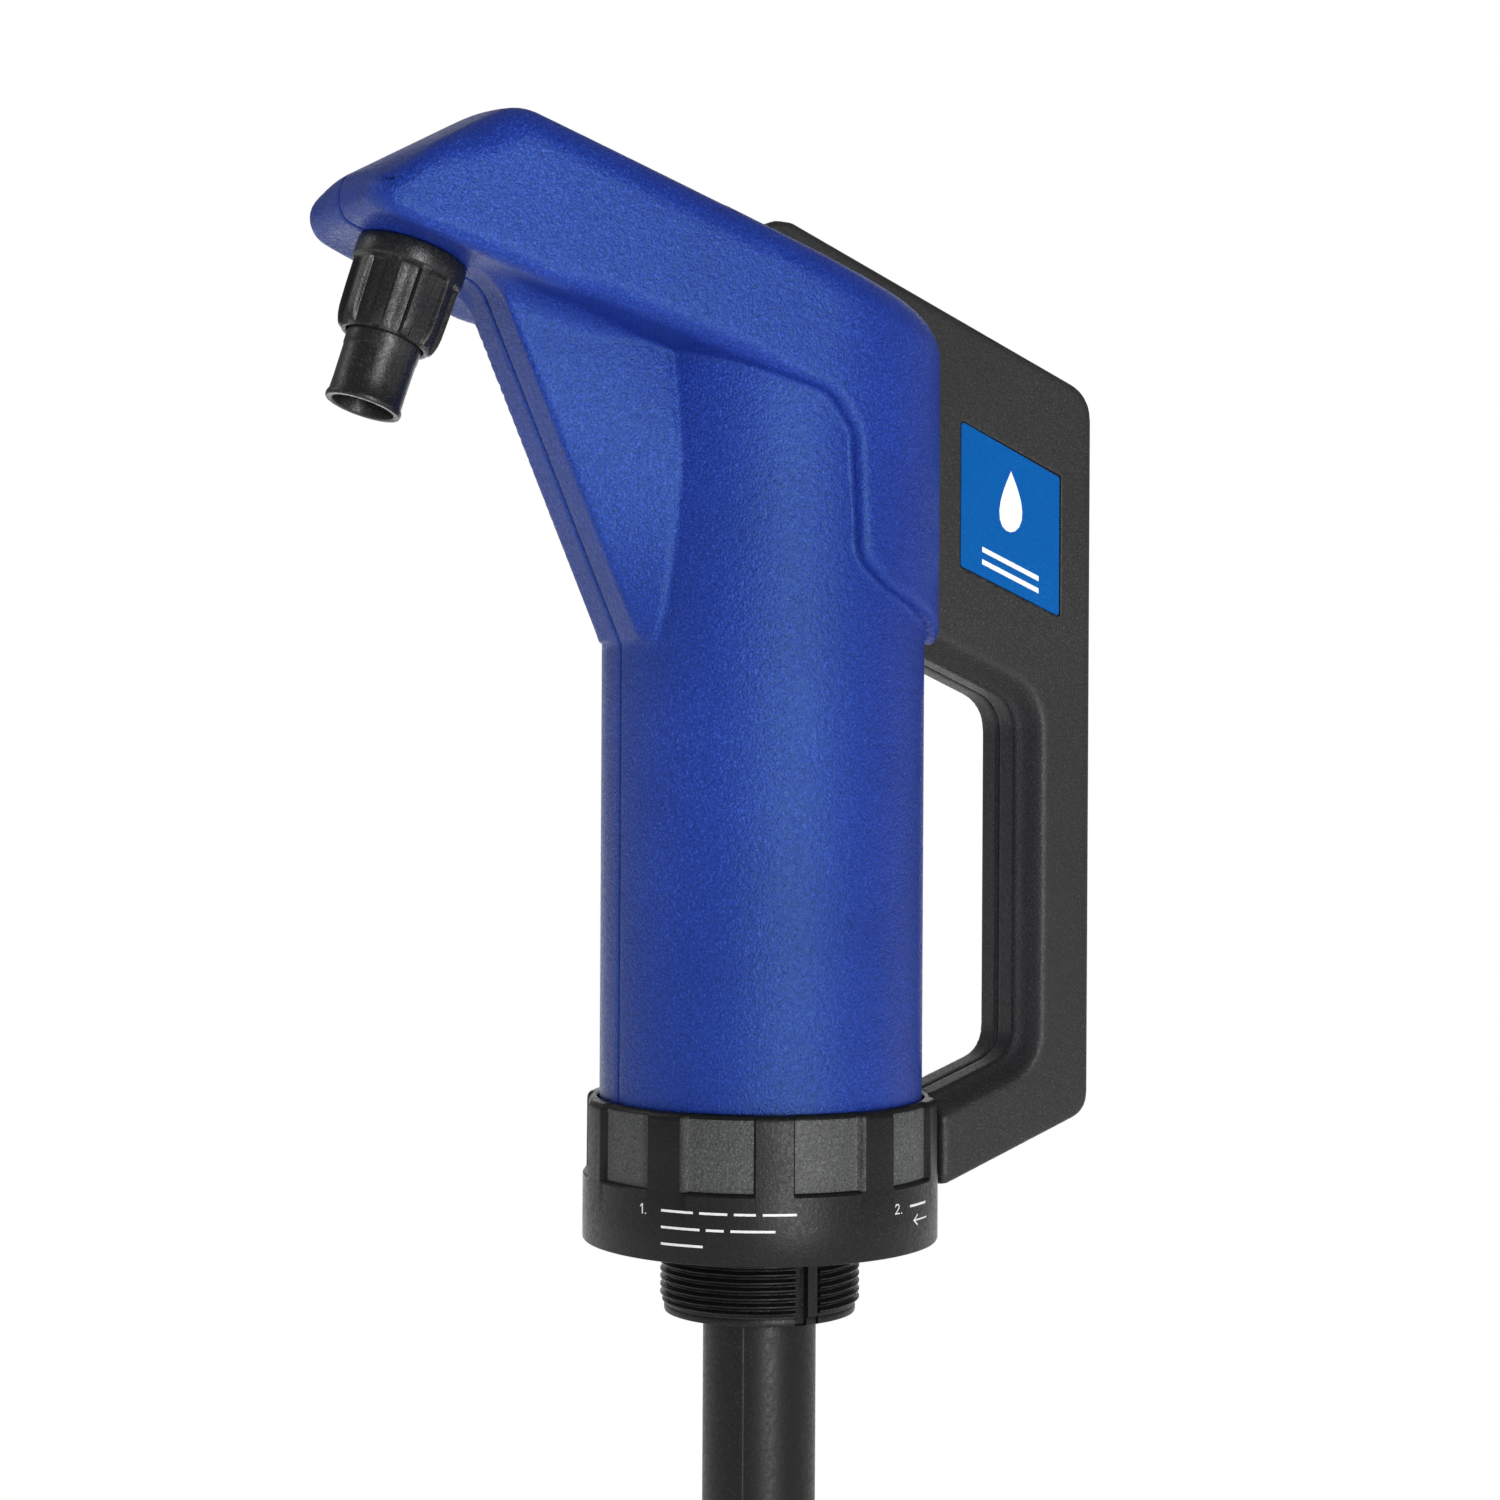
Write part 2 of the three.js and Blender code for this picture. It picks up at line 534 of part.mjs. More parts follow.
// The rod's head: a yoke with a level slot. The lever's cross pin lifts it and slides along the slot.
function rodYoke() {
  const z = CROSS_PIN[1];
  const oblong = (x, high, r) =>
    roundedShape([[-x, z - high, r], [x, z - high, r], [x, z + high, r], [-x, z + high, r]]);
  const block = prismY(oblong(YOKE_X, YOKE_Z, 3), -YOKE_HALF, YOKE_HALF);
  const slot = prismY(oblong(YOKE_SLOT_X, PIN_R + PIN_PLAY, 4.5), -BEYOND, BEYOND);
  const shank = disc(7.5, z - 16, z - YOKE_Z + 1);
  return cut(block.add(shank), slot, disc(ROD_R + 0.2, z - 20, z - 6));
}

// The foot valve's cage: a windowed cup over the disc, which can rise to its top.
function footCage() {
  let body = turned([
    [7, 110.6], [16.3, 110.6], [16.3, 104.3], [18.6, 104.3], [18.6, 112.4], [7, 112.4], [7, 110.6],
  ]);
  const window = solid(new THREE.BoxGeometry(60, 14, 4.2).translate(0, 0, 107.8));
  for (const turn of [0, 90]) body = body.subtract(window.rotate([0, 0, turn]));
  return body;
}

// ---------------------------------------------------------------- discharge side
// The duct rises from the barrel head, runs forward under the lever's pivot and turns down the spout.
function ductSolid() {
  const tilt = THREE.MathUtils.degToRad(SPOUT_TILT);
  const down = new THREE.Vector3(-Math.sin(tilt), 0, -Math.cos(tilt));
  const mouth = new THREE.Vector3(SPOUT_TOP[0], 0, SPOUT_TOP[1]).addScaledVector(down, 1);
  const elbow = mouth.clone().addScaledVector(down, -10);
  const rise = new THREE.Vector3(DUCT_X, 0, 214.6);
  const bendStart = new THREE.Vector3(DUCT_X, 0, 240);
  const bendEnd = new THREE.Vector3(-48, 0, 261);
  const run = new THREE.Vector3(-92, 0, 291.4);
  const path = new THREE.CurvePath();
  path.add(new THREE.LineCurve3(rise, bendStart));
  path.add(new THREE.QuadraticBezierCurve3(bendStart, new THREE.Vector3(DUCT_X, 0, 252), bendEnd));
  path.add(new THREE.LineCurve3(bendEnd, run));
  path.add(new THREE.QuadraticBezierCurve3(run, new THREE.Vector3(-105.3, 0, 300.8), elbow));
  path.add(new THREE.LineCurve3(elbow, mouth));
  const section = new THREE.Shape().absarc(0, 0, DUCT_R, 0, Math.PI * 2);
  section.holes.push(new THREE.Path().absarc(0, 0, DUCT_BORE_R, 0, Math.PI * 2, true));
  const pipe = new THREE.ExtrudeGeometry(section, { steps: 14, curveSegments: 4, extrudePath: path });
  return solid(pipe).add(onSpout(ring(DUCT_R + 1.4, DUCT_BORE_R, 0.4, 12, 24)));
}

function nutSolid() {
  let body = turned([
    [12, 0.5], [NUT_RING_R, 0.5], [NUT_RING_R, 6], [NUT_R + 0.3, 7], [NUT_R, 22.5],
    [NUT_R - 1.5, NUT_LENGTH - 1], [12.6, NUT_LENGTH], [11.2, NUT_LENGTH], [11.2, 18.6], [13.2, 18.6],
    [13.2, 2.6], [12, 2.6], [12, 0.5],
  ]);
  const flute = disc(FLUTE_R, 8, NUT_LENGTH + 5, 8).translate([NUT_R + 3, 0, 0]);
  for (let i = 0; i < NUT_FLUTES; i += 1) body = body.subtract(flute.rotate([0, 0, i * 360 / NUT_FLUTES]));
  return body;
}

function nozzleSolid() {
  const [flangeR, start, flangeEnd] = NOZZLE_FLANGE;
  return turned([
    [NOZZLE_BORE_R, start], [flangeR, start], [flangeR, flangeEnd], [NOZZLE_R + 0.1, flangeEnd],
    [NOZZLE_R, 27], [NOZZLE_R - 0.3, 30], [NOZZLE_R - 0.4, NOZZLE_END - 2.6],
    [NOZZLE_R + 0.1, NOZZLE_END - 1.2], [NOZZLE_R, NOZZLE_END], [NOZZLE_BORE_R, NOZZLE_END],
    [NOZZLE_BORE_R, start],
  ]);
}

// ---------------------------------------------------------------- suction side
function strainerSolid() {
  const [foot, top] = STRAINER_Z;
  const bore = INNER_R + GAP;
  const stop = INNER_Z[0] - GAP;
  let body = turned([
    [0, foot], [15, foot], [STRAINER_R, foot + 2], [STRAINER_R, top], [bore, top], [bore, stop],
    [12.4, stop], [12.4, foot + 3], [0, foot + 3],
  ]);
  const slot = solid(new THREE.BoxGeometry(60, 4.5, 13).translate(0, 0, foot + 12));
  for (const turn of [0, 45, 90, 135]) body = body.subtract(slot.rotate([0, 0, turn]));
  return body;
}

// The gland on the outer tube's foot that grips the sliding inner tube.
function tubeGland() {
  const foot = TUBE_Z[0];
  const grip = INNER_R + GAP;
  const socket = TUBE_R + GAP;
  return turned([
    [grip, foot - 13], [GLAND_R - 1.6, foot - 13], [GLAND_R, foot - 11], [GLAND_R, foot + 14],
    [socket, foot + 14], [socket, foot - 0.4], [grip, foot - 0.4], [grip, foot - 13],
  ], 24);
}

// ---------------------------------------------------------------- assembly
const pump = new THREE.Group();

function add(name, body, finish) {
  const mesh = new THREE.Mesh(geometryOf(body), finish);
  mesh.name = name;
  pump.add(mesh);
}

const SIDES = [['left', -1], ['right', 1]];

SIDES.forEach(([name, side]) => add(`housing_${name}`, casingHalf(side), bluePlastic()));
CASING_SCREWS.forEach((place, i) => add(`housing_screw_${i + 1}`, screwAt(place), steel()));

add('bung_adapter', adapterSolid(), blackPlastic());
add('clamp_collar', collarSolid(), blackPlastic());
add('drum_gasket', ring(49.6, 31, 0, 2.9), rubber());

add('pump_barrel', ring(BARREL_R, BORE_R, BARREL_Z[0], BARREL_Z[1], ROUND), whitePlastic());
add('barrel_base', barrelBase(), whitePlastic());
add('barrel_head', barrelHead(), whitePlastic());
add('rod_bush', ring(7.8, ROD_R + ROD_FIT, 208, 224, 24), whitePlastic());
add('rod_seal', ring(7.8, ROD_R + ROD_FIT, 224.4, 228.4, 24), rubber());
add('gland_nut', glandNut(), blackPlastic());
add('foot_valve_cage', footCage(), whitePlastic());
add('foot_valve_disc', disc(13.5, 104.3, 106.6), rubber());

add('piston_rod', disc(ROD_R, ROD_FOOT_Z, CROSS_PIN[1] - 6.4), steel());
add('rod_yoke', rodYoke(), steel());
add('piston', pistonSolid(), whitePlastic());
add('piston_seal', ring(BORE_R - 0.12, SEAL_ROOT_R + 0.2, SEAL_Z[0] + GAP, SEAL_Z[1] - GAP), rubber());
add('piston_nut', cut(disc(9, 113.2, 117.7, 6), disc(ROD_R + 0.1, 110, 120)), steel());
add('piston_valve_disc', ring(26, ROD_R + 0.6, PISTON_Z[1] + GAP, PISTON_Z[1] + 2.6), rubber());
add('valve_stop', ring(10, ROD_R + 0.1, 141, 145, 24), steel());

add('discharge_duct', ductSolid(), whitePlastic());
add('outlet_washer', onSpout(ring(12.2, NOZZLE_BORE_R, 12.3, 14.1, 24)), rubber());
add('spout_nut', onSpout(nutSolid()), blackPlastic());
add('spout_nozzle', onSpout(nozzleSolid()), blackPlastic());

SIDES.forEach(([name, side]) => add(`lever_${name}`, leverHalf(side), blackPlastic()));
LEVER_SCREWS.forEach((place, i) => add(`lever_screw_${i + 1}`, screwAt(place), steel()));
add('cross_pin', barY(PIN_R, CROSS_PIN, -CROSS_PIN_HALF, CROSS_PIN_HALF), steel());
add('pivot_pin', barY(PIN_R, LEVER_PIVOT, -PIVOT_PIN_HALF, PIVOT_PIN_HALF), steel());
for (const [name, side] of SIDES) {
  add(`label_${name}`, labelAt(side), labelFilm());
  const bush = sleeve(PIN_R + 3.1, PIN_R + 0.15, LEVER_PIVOT, side, LEVER_PLATE, LEVER_HALF + 0.7);
  add(`pivot_bush_${name}`, bush, whitePlastic());
  const spacer = sleeve(PIN_R + 2.2, PIN_R + 0.2, CROSS_PIN, side, YOKE_HALF + GAP, LEVER_PLATE - GAP);
  add(`yoke_spacer_${name}`, spacer, whitePlastic());
}

add('suction_tube', ring(TUBE_R, TUBE_BORE_R, TUBE_Z[0], TUBE_Z[1], 24), pipePlastic());
add('inner_tube', ring(INNER_R, INNER_BORE_R, INNER_Z[0], INNER_Z[1]), pipePlastic());
add('tube_gland', tubeGland(), blackPlastic());
add('foot_strainer', strainerSolid(), blackPlastic());

export default pump;
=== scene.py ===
"""The visual model of the lever drum pump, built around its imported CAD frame.

Shapes are worked out in millimetres and turned into metres when a mesh is made. The moulded casing and
lever are distance fields meshed on a grid; the round parts are profiles spun about their own axis.
"""
import json
import math
from contextlib import contextmanager

import bmesh
import bpy
import numpy as np
from mathutils import Matrix, Vector


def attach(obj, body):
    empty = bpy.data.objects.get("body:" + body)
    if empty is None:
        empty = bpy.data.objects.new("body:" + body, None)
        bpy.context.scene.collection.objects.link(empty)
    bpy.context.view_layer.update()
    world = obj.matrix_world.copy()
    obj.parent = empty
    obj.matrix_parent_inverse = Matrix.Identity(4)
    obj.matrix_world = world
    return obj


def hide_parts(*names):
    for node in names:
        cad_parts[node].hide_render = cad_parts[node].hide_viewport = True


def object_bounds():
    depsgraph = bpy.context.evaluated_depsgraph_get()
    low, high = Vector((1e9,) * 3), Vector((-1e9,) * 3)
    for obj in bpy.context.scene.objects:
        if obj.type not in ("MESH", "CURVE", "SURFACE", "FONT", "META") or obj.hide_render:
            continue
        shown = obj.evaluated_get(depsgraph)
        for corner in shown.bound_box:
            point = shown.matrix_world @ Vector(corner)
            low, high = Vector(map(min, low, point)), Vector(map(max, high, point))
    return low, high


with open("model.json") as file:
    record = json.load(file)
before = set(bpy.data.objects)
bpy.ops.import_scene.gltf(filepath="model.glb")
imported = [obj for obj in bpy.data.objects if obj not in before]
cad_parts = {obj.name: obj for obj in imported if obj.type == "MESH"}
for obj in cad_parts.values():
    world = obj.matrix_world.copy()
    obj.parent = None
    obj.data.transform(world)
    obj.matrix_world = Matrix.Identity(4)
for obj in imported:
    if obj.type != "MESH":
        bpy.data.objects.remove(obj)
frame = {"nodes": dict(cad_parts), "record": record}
cad_low, cad_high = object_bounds()

# ---------------------------------------------------------------- shared dimensions, mm
SIDES = ((-1, "left"), (1, "right"))    # the two halves of the casing and of the lever
PARTING = 0.03                          # half the gap between them
WALL = 3.0
TRUNK_R = 48.2
PIVOT = (-58.5, 286.0)
CROSS_PIN = (-3.5, 257.4)
SLOT_HALF = 17.0
LEVER_HALF = 16.0
CASING_SCREWS = [(-93, 311.5), (-49.6, 200), (-33, 60), (33, 60)]
LEVER_SCREWS = [(66, 262), (100.5, 168), (100.5, 50)]
SCREW_SEAT = 9.0                        # how far each screw's head sits from the mid-plane
SPOUT_TOP = (-113.9, 283.5)
SPOUT_TILT = math.radians(18.8)
FRONT = math.radians(-120.5)            # where the collar's printed side and the camera are, about the axis


# ---------------------------------------------------------------- field helpers
def smooth(t):
    """0 to 1, with a level start and end."""
    t = np.clip(t, 0, 1)
    return t * t * (3 - 2 * t)


def fade(value, start, end):
    """0 at start and 1 at end, eased between them; end may be the lower of the two."""
    return smooth((value - start) / (end - start))


def mix(a, b, t):
    return a + (b - a) * t


def meet(a, b, r):
    """The overlap of two fields, its edge rounded to radius r."""
    return np.minimum(np.maximum(a, b), -r) + np.hypot(np.maximum(a + r, 0), np.maximum(b + r, 0))


def join(a, b, r):
    """The union of two fields, with a fillet of radius r."""
    return np.maximum(np.minimum(a, b), r) - np.hypot(np.maximum(r - a, 0), np.maximum(r - b, 0))


def rounded(points, steps=6):
    """A closed outline of (x, z, radius) corners, each radius a true arc."""
    out = []
    for i, (x, z, r) in enumerate(points):
        corner = np.array([x, z], float)
        if not r:
            out.append(corner)
            continue
        before = np.array(points[i - 1][:2], float) - corner
        after = np.array(points[(i + 1) % len(points)][:2], float) - corner
        before /= np.linalg.norm(before)
        after /= np.linalg.norm(after)
        half = math.acos(max(-1, min(1, before @ after))) / 2
        middle = before + after
        centre = corner + middle / np.linalg.norm(middle) * r / math.sin(half)
        start = corner + before * r / math.tan(half) - centre
        end = corner + after * r / math.tan(half) - centre
        first = math.atan2(start[1], start[0])
        turn = (math.atan2(end[1], end[0]) - first + math.pi) % (2 * math.pi) - math.pi
        for k in range(steps + 1):
            a = first + turn * k / steps
            out.append(centre + r * np.array([math.cos(a), math.sin(a)]))
    return np.array(out)


def polygon(outline, x, z):
    """Signed distance to a closed outline in x and z, negative inside."""
    x, z = np.broadcast_arrays(x, z)
    best = np.full(x.shape, 1e12)
    inside = np.zeros(x.shape, bool)
    for (ax, az), (bx, bz) in zip(outline, np.roll(outline, -1, 0)):
        ex, ez = bx - ax, bz - az
        wx, wz = x - ax, z - az
        t = np.clip((wx * ex + wz * ez) / max(ex * ex + ez * ez, 1e-12), 0, 1)
        best = np.minimum(best, (wx - t * ex) ** 2 + (wz - t * ez) ** 2)
        if az != bz:
            crosses = (az > z) != (bz > z)
            inside ^= crosses & (x < ex * (z - az) / ez + ax)
    return np.where(inside, -1, 1) * np.sqrt(best)


def tabled(outline, x_range, z_range, step=0.5):
    """A fast look-up of the distance to an outline, within the given ranges."""
    x0, z0 = x_range[0], z_range[0]
    nx, nz = int((x_range[1] - x0) / step) + 2, int((z_range[1] - z0) / step) + 2
    table = polygon(outline, (x0 + step * np.arange(nx))[:, None], (z0 + step * np.arange(nz))[None, :])

    def look(x, z):
        u, v = np.broadcast_arrays((x - x0) / step, (z - z0) / step)
        i = np.clip(u.astype(int), 0, nx - 2)
        k = np.clip(v.astype(int), 0, nz - 2)
        u, v = u - i, v - k
        low = table[i, k] * (1 - u) + table[i + 1, k] * u
        high = table[i, k + 1] * (1 - u) + table[i + 1, k + 1] * u
        return low * (1 - v) + high * v
    return look


# ---------------------------------------------------------------- meshing a field
def crossings(values, inside, axes, axis):
    """The grid edges along one axis that cross the surface: their cells' indices, points and inner ends."""
    lower = [slice(None)] * 3
    upper = [slice(None)] * 3
    lower[axis], upper[axis] = slice(None, -1), slice(1, None)
    inner = inside[tuple(lower)]
    at = np.argwhere(inner != inside[tuple(upper)])
    a, b = values[tuple(lower)][tuple(at.T)], values[tuple(upper)][tuple(at.T)]
    points = np.stack([axes[k][at[:, k]] for k in range(3)], 1).astype(float)
    lines = axes[axis]
    points[:, axis] += a / (a - b) * (lines[at[:, axis] + 1] - lines[at[:, axis]])
    return at, points, inner[tuple(at.T)]


def net(field, xs, ys, zs, settle=3):
    """Meshes the zero surface of field on a grid whose lines lie at xs, ys and zs."""
    values = field(xs[:, None, None], ys[None, :, None], zs[None, None, :])
    values = np.broadcast_to(values, (len(xs), len(ys), len(zs)))
    cells = np.array(values.shape) - 1
    total = np.zeros((cells.prod(), 3))
    count = np.zeros(cells.prod())
    quads = []
    inside = values < 0
    for axis in range(3):
        at, points, inner = crossings(values, inside, (xs, ys, zs), axis)
        u, v = (axis + 1) % 3, (axis + 2) % 3
        corners = []
        for du, dv in ((-1, -1), (0, -1), (0, 0), (-1, 0)):
            cell = at.copy()
            cell[:, u] += du
            cell[:, v] += dv
            good = ((cell >= 0) & (cell < cells)).all(1)
            flat = np.ravel_multi_index(np.clip(cell, 0, cells - 1).T, cells)
            np.add.at(total, flat[good], points[good])
            np.add.at(count, flat[good], 1)
            corners.append(np.where(good, flat, -1))
        quad = np.stack(corners, 1)
        quad[~inner] = quad[~inner][:, ::-1]
        quads.append(quad[(quad >= 0).all(1)])
    quads = np.concatenate(quads)
    used = np.flatnonzero(count)
    index = np.full(len(count), -1)
    index[used] = np.arange(len(used))
    verts = total[used] / count[used][:, None]
    for _ in range(settle):
        verts = verts - towards(field, verts)
    return verts, index[quads]


def towards(field, p, h=0.02):
    """The step from each point to the field's surface, at most 1 mm long."""
    f = field(*p.T)
    slope = np.stack([(field(*(p + d).T) - field(*(p - d).T)) / (2 * h) for d in np.eye(3) * h], 1)
    step = f[:, None] * slope / np.maximum((slope ** 2).sum(1), 0.05)[:, None]
    length = np.linalg.norm(step, axis=1, keepdims=True)
    return step * np.minimum(1, 1.0 / np.maximum(length, 1e-9))


# ---------------------------------------------------------------- mesh helpers
def new_mesh(name, verts, faces):
    """A mesh in metres, from points in mm."""
    mesh = bpy.data.meshes.new(name)
    mesh.from_pydata((np.asarray(verts, float) / 1000).tolist(), [], [list(map(int, f)) for f in faces])
    return mesh


def new_object(name, data):
    obj = bpy.data.objects.new(name, data)
    bpy.context.scene.collection.objects.link(obj)
    return obj


def piece(name, verts, faces, body, slot, material, replaces=(), smooth_shade=True):
    """A visible piece that rides on a CAD body."""
    mesh = new_mesh(name, verts, faces)
    mesh.validate()
    mesh.update()
    if smooth_shade:
        mesh.polygons.foreach_set("use_smooth", np.ones(len(mesh.polygons), bool))
    mesh.materials.append(material)
    obj = new_object(name, mesh)
    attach(obj, body)
    if replaces:
        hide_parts(*replaces)
    return obj


@contextmanager
def editing(mesh):
    """Opens a mesh for editing, and writes it back at the end."""
    bm = bmesh.new()
    bm.from_mesh(mesh)
    yield bm
    bm.to_mesh(mesh)
    bm.free()


def sharpen(obj, degrees):
    """Breaks the shading at edges sharper than the given angle."""
    limit = math.radians(degrees)
    with editing(obj.data) as bm:
        for edge in bm.edges:
            edge.smooth = len(edge.link_faces) == 2 and edge.calc_face_angle(0) < limit


def outward(mesh):
    """Turns the faces of a closed mesh outwards."""
    with editing(mesh) as bm:
        bmesh.ops.recalc_face_normals(bm, faces=bm.faces[:])


def halve(obj, side):
    """Cuts the mesh at its parting plane and closes the cut."""
    with editing(obj.data) as bm:
        bmesh.ops.bisect_plane(
            bm, geom=bm.verts[:] + bm.edges[:] + bm.faces[:], dist=1e-7,
            plane_co=(0, side * PARTING / 1000, 0), plane_no=(0, -side, 0), clear_outer=True)
        rim = [e for e in bm.edges if e.is_boundary]
        filled = bmesh.ops.triangle_fill(bm, use_beauty=False, use_dissolve=False, edges=rim)
        for face in (g for g in filled["geom"] if isinstance(g, bmesh.types.BMFace)):
            face.smooth = False
        bmesh.ops.recalc_face_normals(bm, faces=bm.faces[:])


def carve(obj, verts, faces):
    """Cuts a closed solid away from a piece."""
    cutter = new_object("cutter", new_mesh("cutter", verts, faces))
    outward(cutter.data)
    modifier = obj.modifiers.new("cut", "BOOLEAN")
    modifier.operation = "DIFFERENCE"
    modifier.solver = "EXACT"
    modifier.object = cutter
    bpy.context.view_layer.update()
    uncut = obj.data
    cut = bpy.data.meshes.new_from_object(obj.evaluated_get(bpy.context.evaluated_depsgraph_get()))
    obj.modifiers.clear()
    obj.data = cut
    for mesh in (uncut, cutter.data):
        bpy.data.meshes.remove(mesh)


def grid_faces(rows, columns, closed=True):
    """Quads between neighbouring rows of points; the last row joins the first where closed."""
    faces = []
    for i in range(rows if closed else rows - 1):
        for j in range(columns):
            k = (j + 1) % columns
            n = (i + 1) % rows
            faces.append((i * columns + j, i * columns + k, n * columns + k, n * columns + j))
    return faces


def spun(profile, angles):
    """A closed profile of (r, z) rows, spun about Z; r may be a function of the angles."""
    verts = []
    for r, z in profile:
        radius = r(angles) if callable(r) else np.full(len(angles), float(r))
        height = np.full(len(angles), float(z))
        verts.append(np.stack([radius * np.cos(angles), radius * np.sin(angles), height], 1))
    return np.concatenate(verts), grid_faces(len(profile), len(angles))


def layered(rings):
    """A closed solid through rings of points, the first and the last ring filled."""
    n = len(rings[0])
    verts = [point for ring in rings for point in ring]
    faces = [tuple(range(n)), tuple(range(len(verts) - 1, len(verts) - n - 1, -1))]
    return verts, faces + grid_faces(len(rings), n, closed=False)


def at_depth(outline, y):
    """An outline in x and z as a ring of points at one distance from the mid-plane."""
    return [(x, y, z) for x, z in outline]


def around(n):
    return np.linspace(0, 2 * math.pi, n, endpoint=False)


def sorted_turns(*groups):
    """All the angles of the groups, in order round the circle."""
    return np.sort(np.mod(np.concatenate(groups), 2 * math.pi))


def wrapped(turn):
    """An angle, or angles, brought between minus and plus half a turn."""
    return (turn + math.pi) % (2 * math.pi) - math.pi


# ---------------------------------------------------------------- materials
def linear(rgb):
    """A colour of 0 to 255 values as a shader's linear colour."""
    return tuple(((c / 255 + 0.055) / 1.055) ** 2.4 if c > 10 else c / 255 / 12.92 for c in rgb) + (1,)


class Finish:
    """A node material, built up from the object's own coordinates."""

    def __init__(self, name):
        self.material = bpy.data.materials.new(name)
        self.material.use_nodes = True
        self.tree = self.material.node_tree
        self.shader = self.tree.nodes["Principled BSDF"]
        self.place = self.tree.nodes.new("ShaderNodeTexCoord").outputs["Object"]

    def put(self, socket, value):
        """Links another node's output to the socket, or sets a constant on it."""
        if isinstance(value, bpy.types.NodeSocket):
            self.tree.links.new(value, socket)
        else:
            socket.default_value = value

    def node(self, kind, inputs):
        made = self.tree.nodes.new(kind)
        for key, value in inputs.items():
            self.put(made.inputs[key], value)
        return made

    def noise(self, scale, detail=2.0, roughness=0.5, place=None):
        inputs = {"Vector": place or self.place, "Scale": scale, "Detail": detail, "Roughness": roughness}
        return self.node("ShaderNodeTexNoise", inputs).outputs["Fac"]

    def ramp(self, value, stops):
        ramp = self.node("ShaderNodeValToRGB", {"Fac": value})
        elements = ramp.color_ramp.elements
        for i, (at, colour) in enumerate(stops):
            element = elements[i] if i < 2 else elements.new(at)
            element.position = at
            element.color = colour
        return ramp.outputs["Color"]

    def spread(self, value, low, high, to_low, to_high):
        inputs = {"Value": value, "From Min": low, "From Max": high, "To Min": to_low, "To Max": to_high}
        return self.node("ShaderNodeMapRange", inputs).outputs["Result"]

    def combine(self, operation, a, b):
        made = self.node("ShaderNodeMath", {0: a, 1: b})
        made.operation = operation
        return made.outputs[0]

    def bump(self, height, distance):
        return self.node("ShaderNodeBump", {"Height": height, "Distance": distance}).outputs["Normal"]

    def set(self, **sockets):
        for key, value in sockets.items():
            self.put(self.shader.inputs[key.replace("_", " ")], value)
        return self.material


CLOUD = 14.0            # the scale of a moulding's slow variation of tone, per metre
FINE_SHARE = 0.75       # how much of its tone follows its fine grain instead
COARSE_RELIEF = 0.7     # how high its coarse grain stands beside the fine one


def moulded(name, dark, light, grain, depth, rough, sheen=(1, 1, 1, 1), level=0.4):
    """Spark-eroded plastic: a fine grain in relief, slow variation of tone and gloss, and painted glints on
    its brightest grain.
    """
    f = Finish(name)
    slow = f.noise(CLOUD, 3.0)
    fine = f.noise(grain, 2.0, 0.6)
    coarse = f.noise(grain * 0.35, 1.0)
    slow_part = f.combine("MULTIPLY", slow, 1 - FINE_SHARE)
    fine_part = f.combine("MULTIPLY", fine, FINE_SHARE)
    tone = f.combine("ADD", slow_part, fine_part)
    # The brightest grain is coloured paler still: painted glints, standing in for light sparkling on the
    # grain.
    painted_glint = tuple(c * 1.1 + 24 for c in light)
    colour = f.ramp(tone, [(0.3, linear(dark)), (0.56, linear(light)), (0.7, linear(painted_glint))])
    gloss = f.spread(f.noise(grain * 0.6), 0.35, 0.65, rough - 0.06, rough + 0.08)
    height = f.combine("ADD", fine, f.combine("MULTIPLY", coarse, COARSE_RELIEF))
    return f.set(Base_Color=colour, Roughness=gloss, Normal=f.bump(height, depth),
                 Specular_IOR_Level=level, Specular_Tint=sheen)


def turned_steel():
    """Bright turned steel, with fine level lines."""
    f = Finish("turned_steel")
    stretched = f.node("ShaderNodeMapping", {"Vector": f.place, "Scale": (1.0, 1.0, 30.0)})
    lines = f.noise(220.0, place=stretched.outputs["Vector"])
    colour = f.ramp(lines, [(0.3, (0.36, 0.37, 0.39, 1)), (0.7, (0.62, 0.63, 0.65, 1))])
    gloss = f.spread(lines, 0.3, 0.7, 0.22, 0.36)
    return f.set(Base_Color=colour, Roughness=gloss, Metallic=1.0, Normal=f.bump(lines, 0.00001))


def print_ink(name, colour):
    """Printed ink, slightly worn in places."""
    f = Finish(name)
    wear = f.noise(900.0, 3.0)
    worn = tuple(c * 0.86 for c in colour[:3]) + (1,)
    shade = f.ramp(wear, [(0.3, worn), (0.55, colour)])
    return f.set(Base_Color=shade, Roughness=f.spread(wear, 0.3, 0.7, 0.42, 0.5))


blue = moulded("blue_moulding", (8, 26, 98), (25, 50, 144), grain=1500.0, depth=0.0003, rough=0.4,
               sheen=(0.5, 0.9, 1.0, 1), level=0.38)
black = moulded("black_moulding", (22, 22, 22), (38, 38, 38), grain=1700.0, depth=0.00014, rough=0.48)
smooth_black = moulded("smooth_black", (7, 7, 7), (12, 12, 12), grain=1500.0, depth=0.00008, rough=0.4,
                       level=0.3)
spout_black = moulded("spout_black", (13, 13, 13), (25, 25, 25), grain=1500.0, depth=0.00008, rough=0.34)
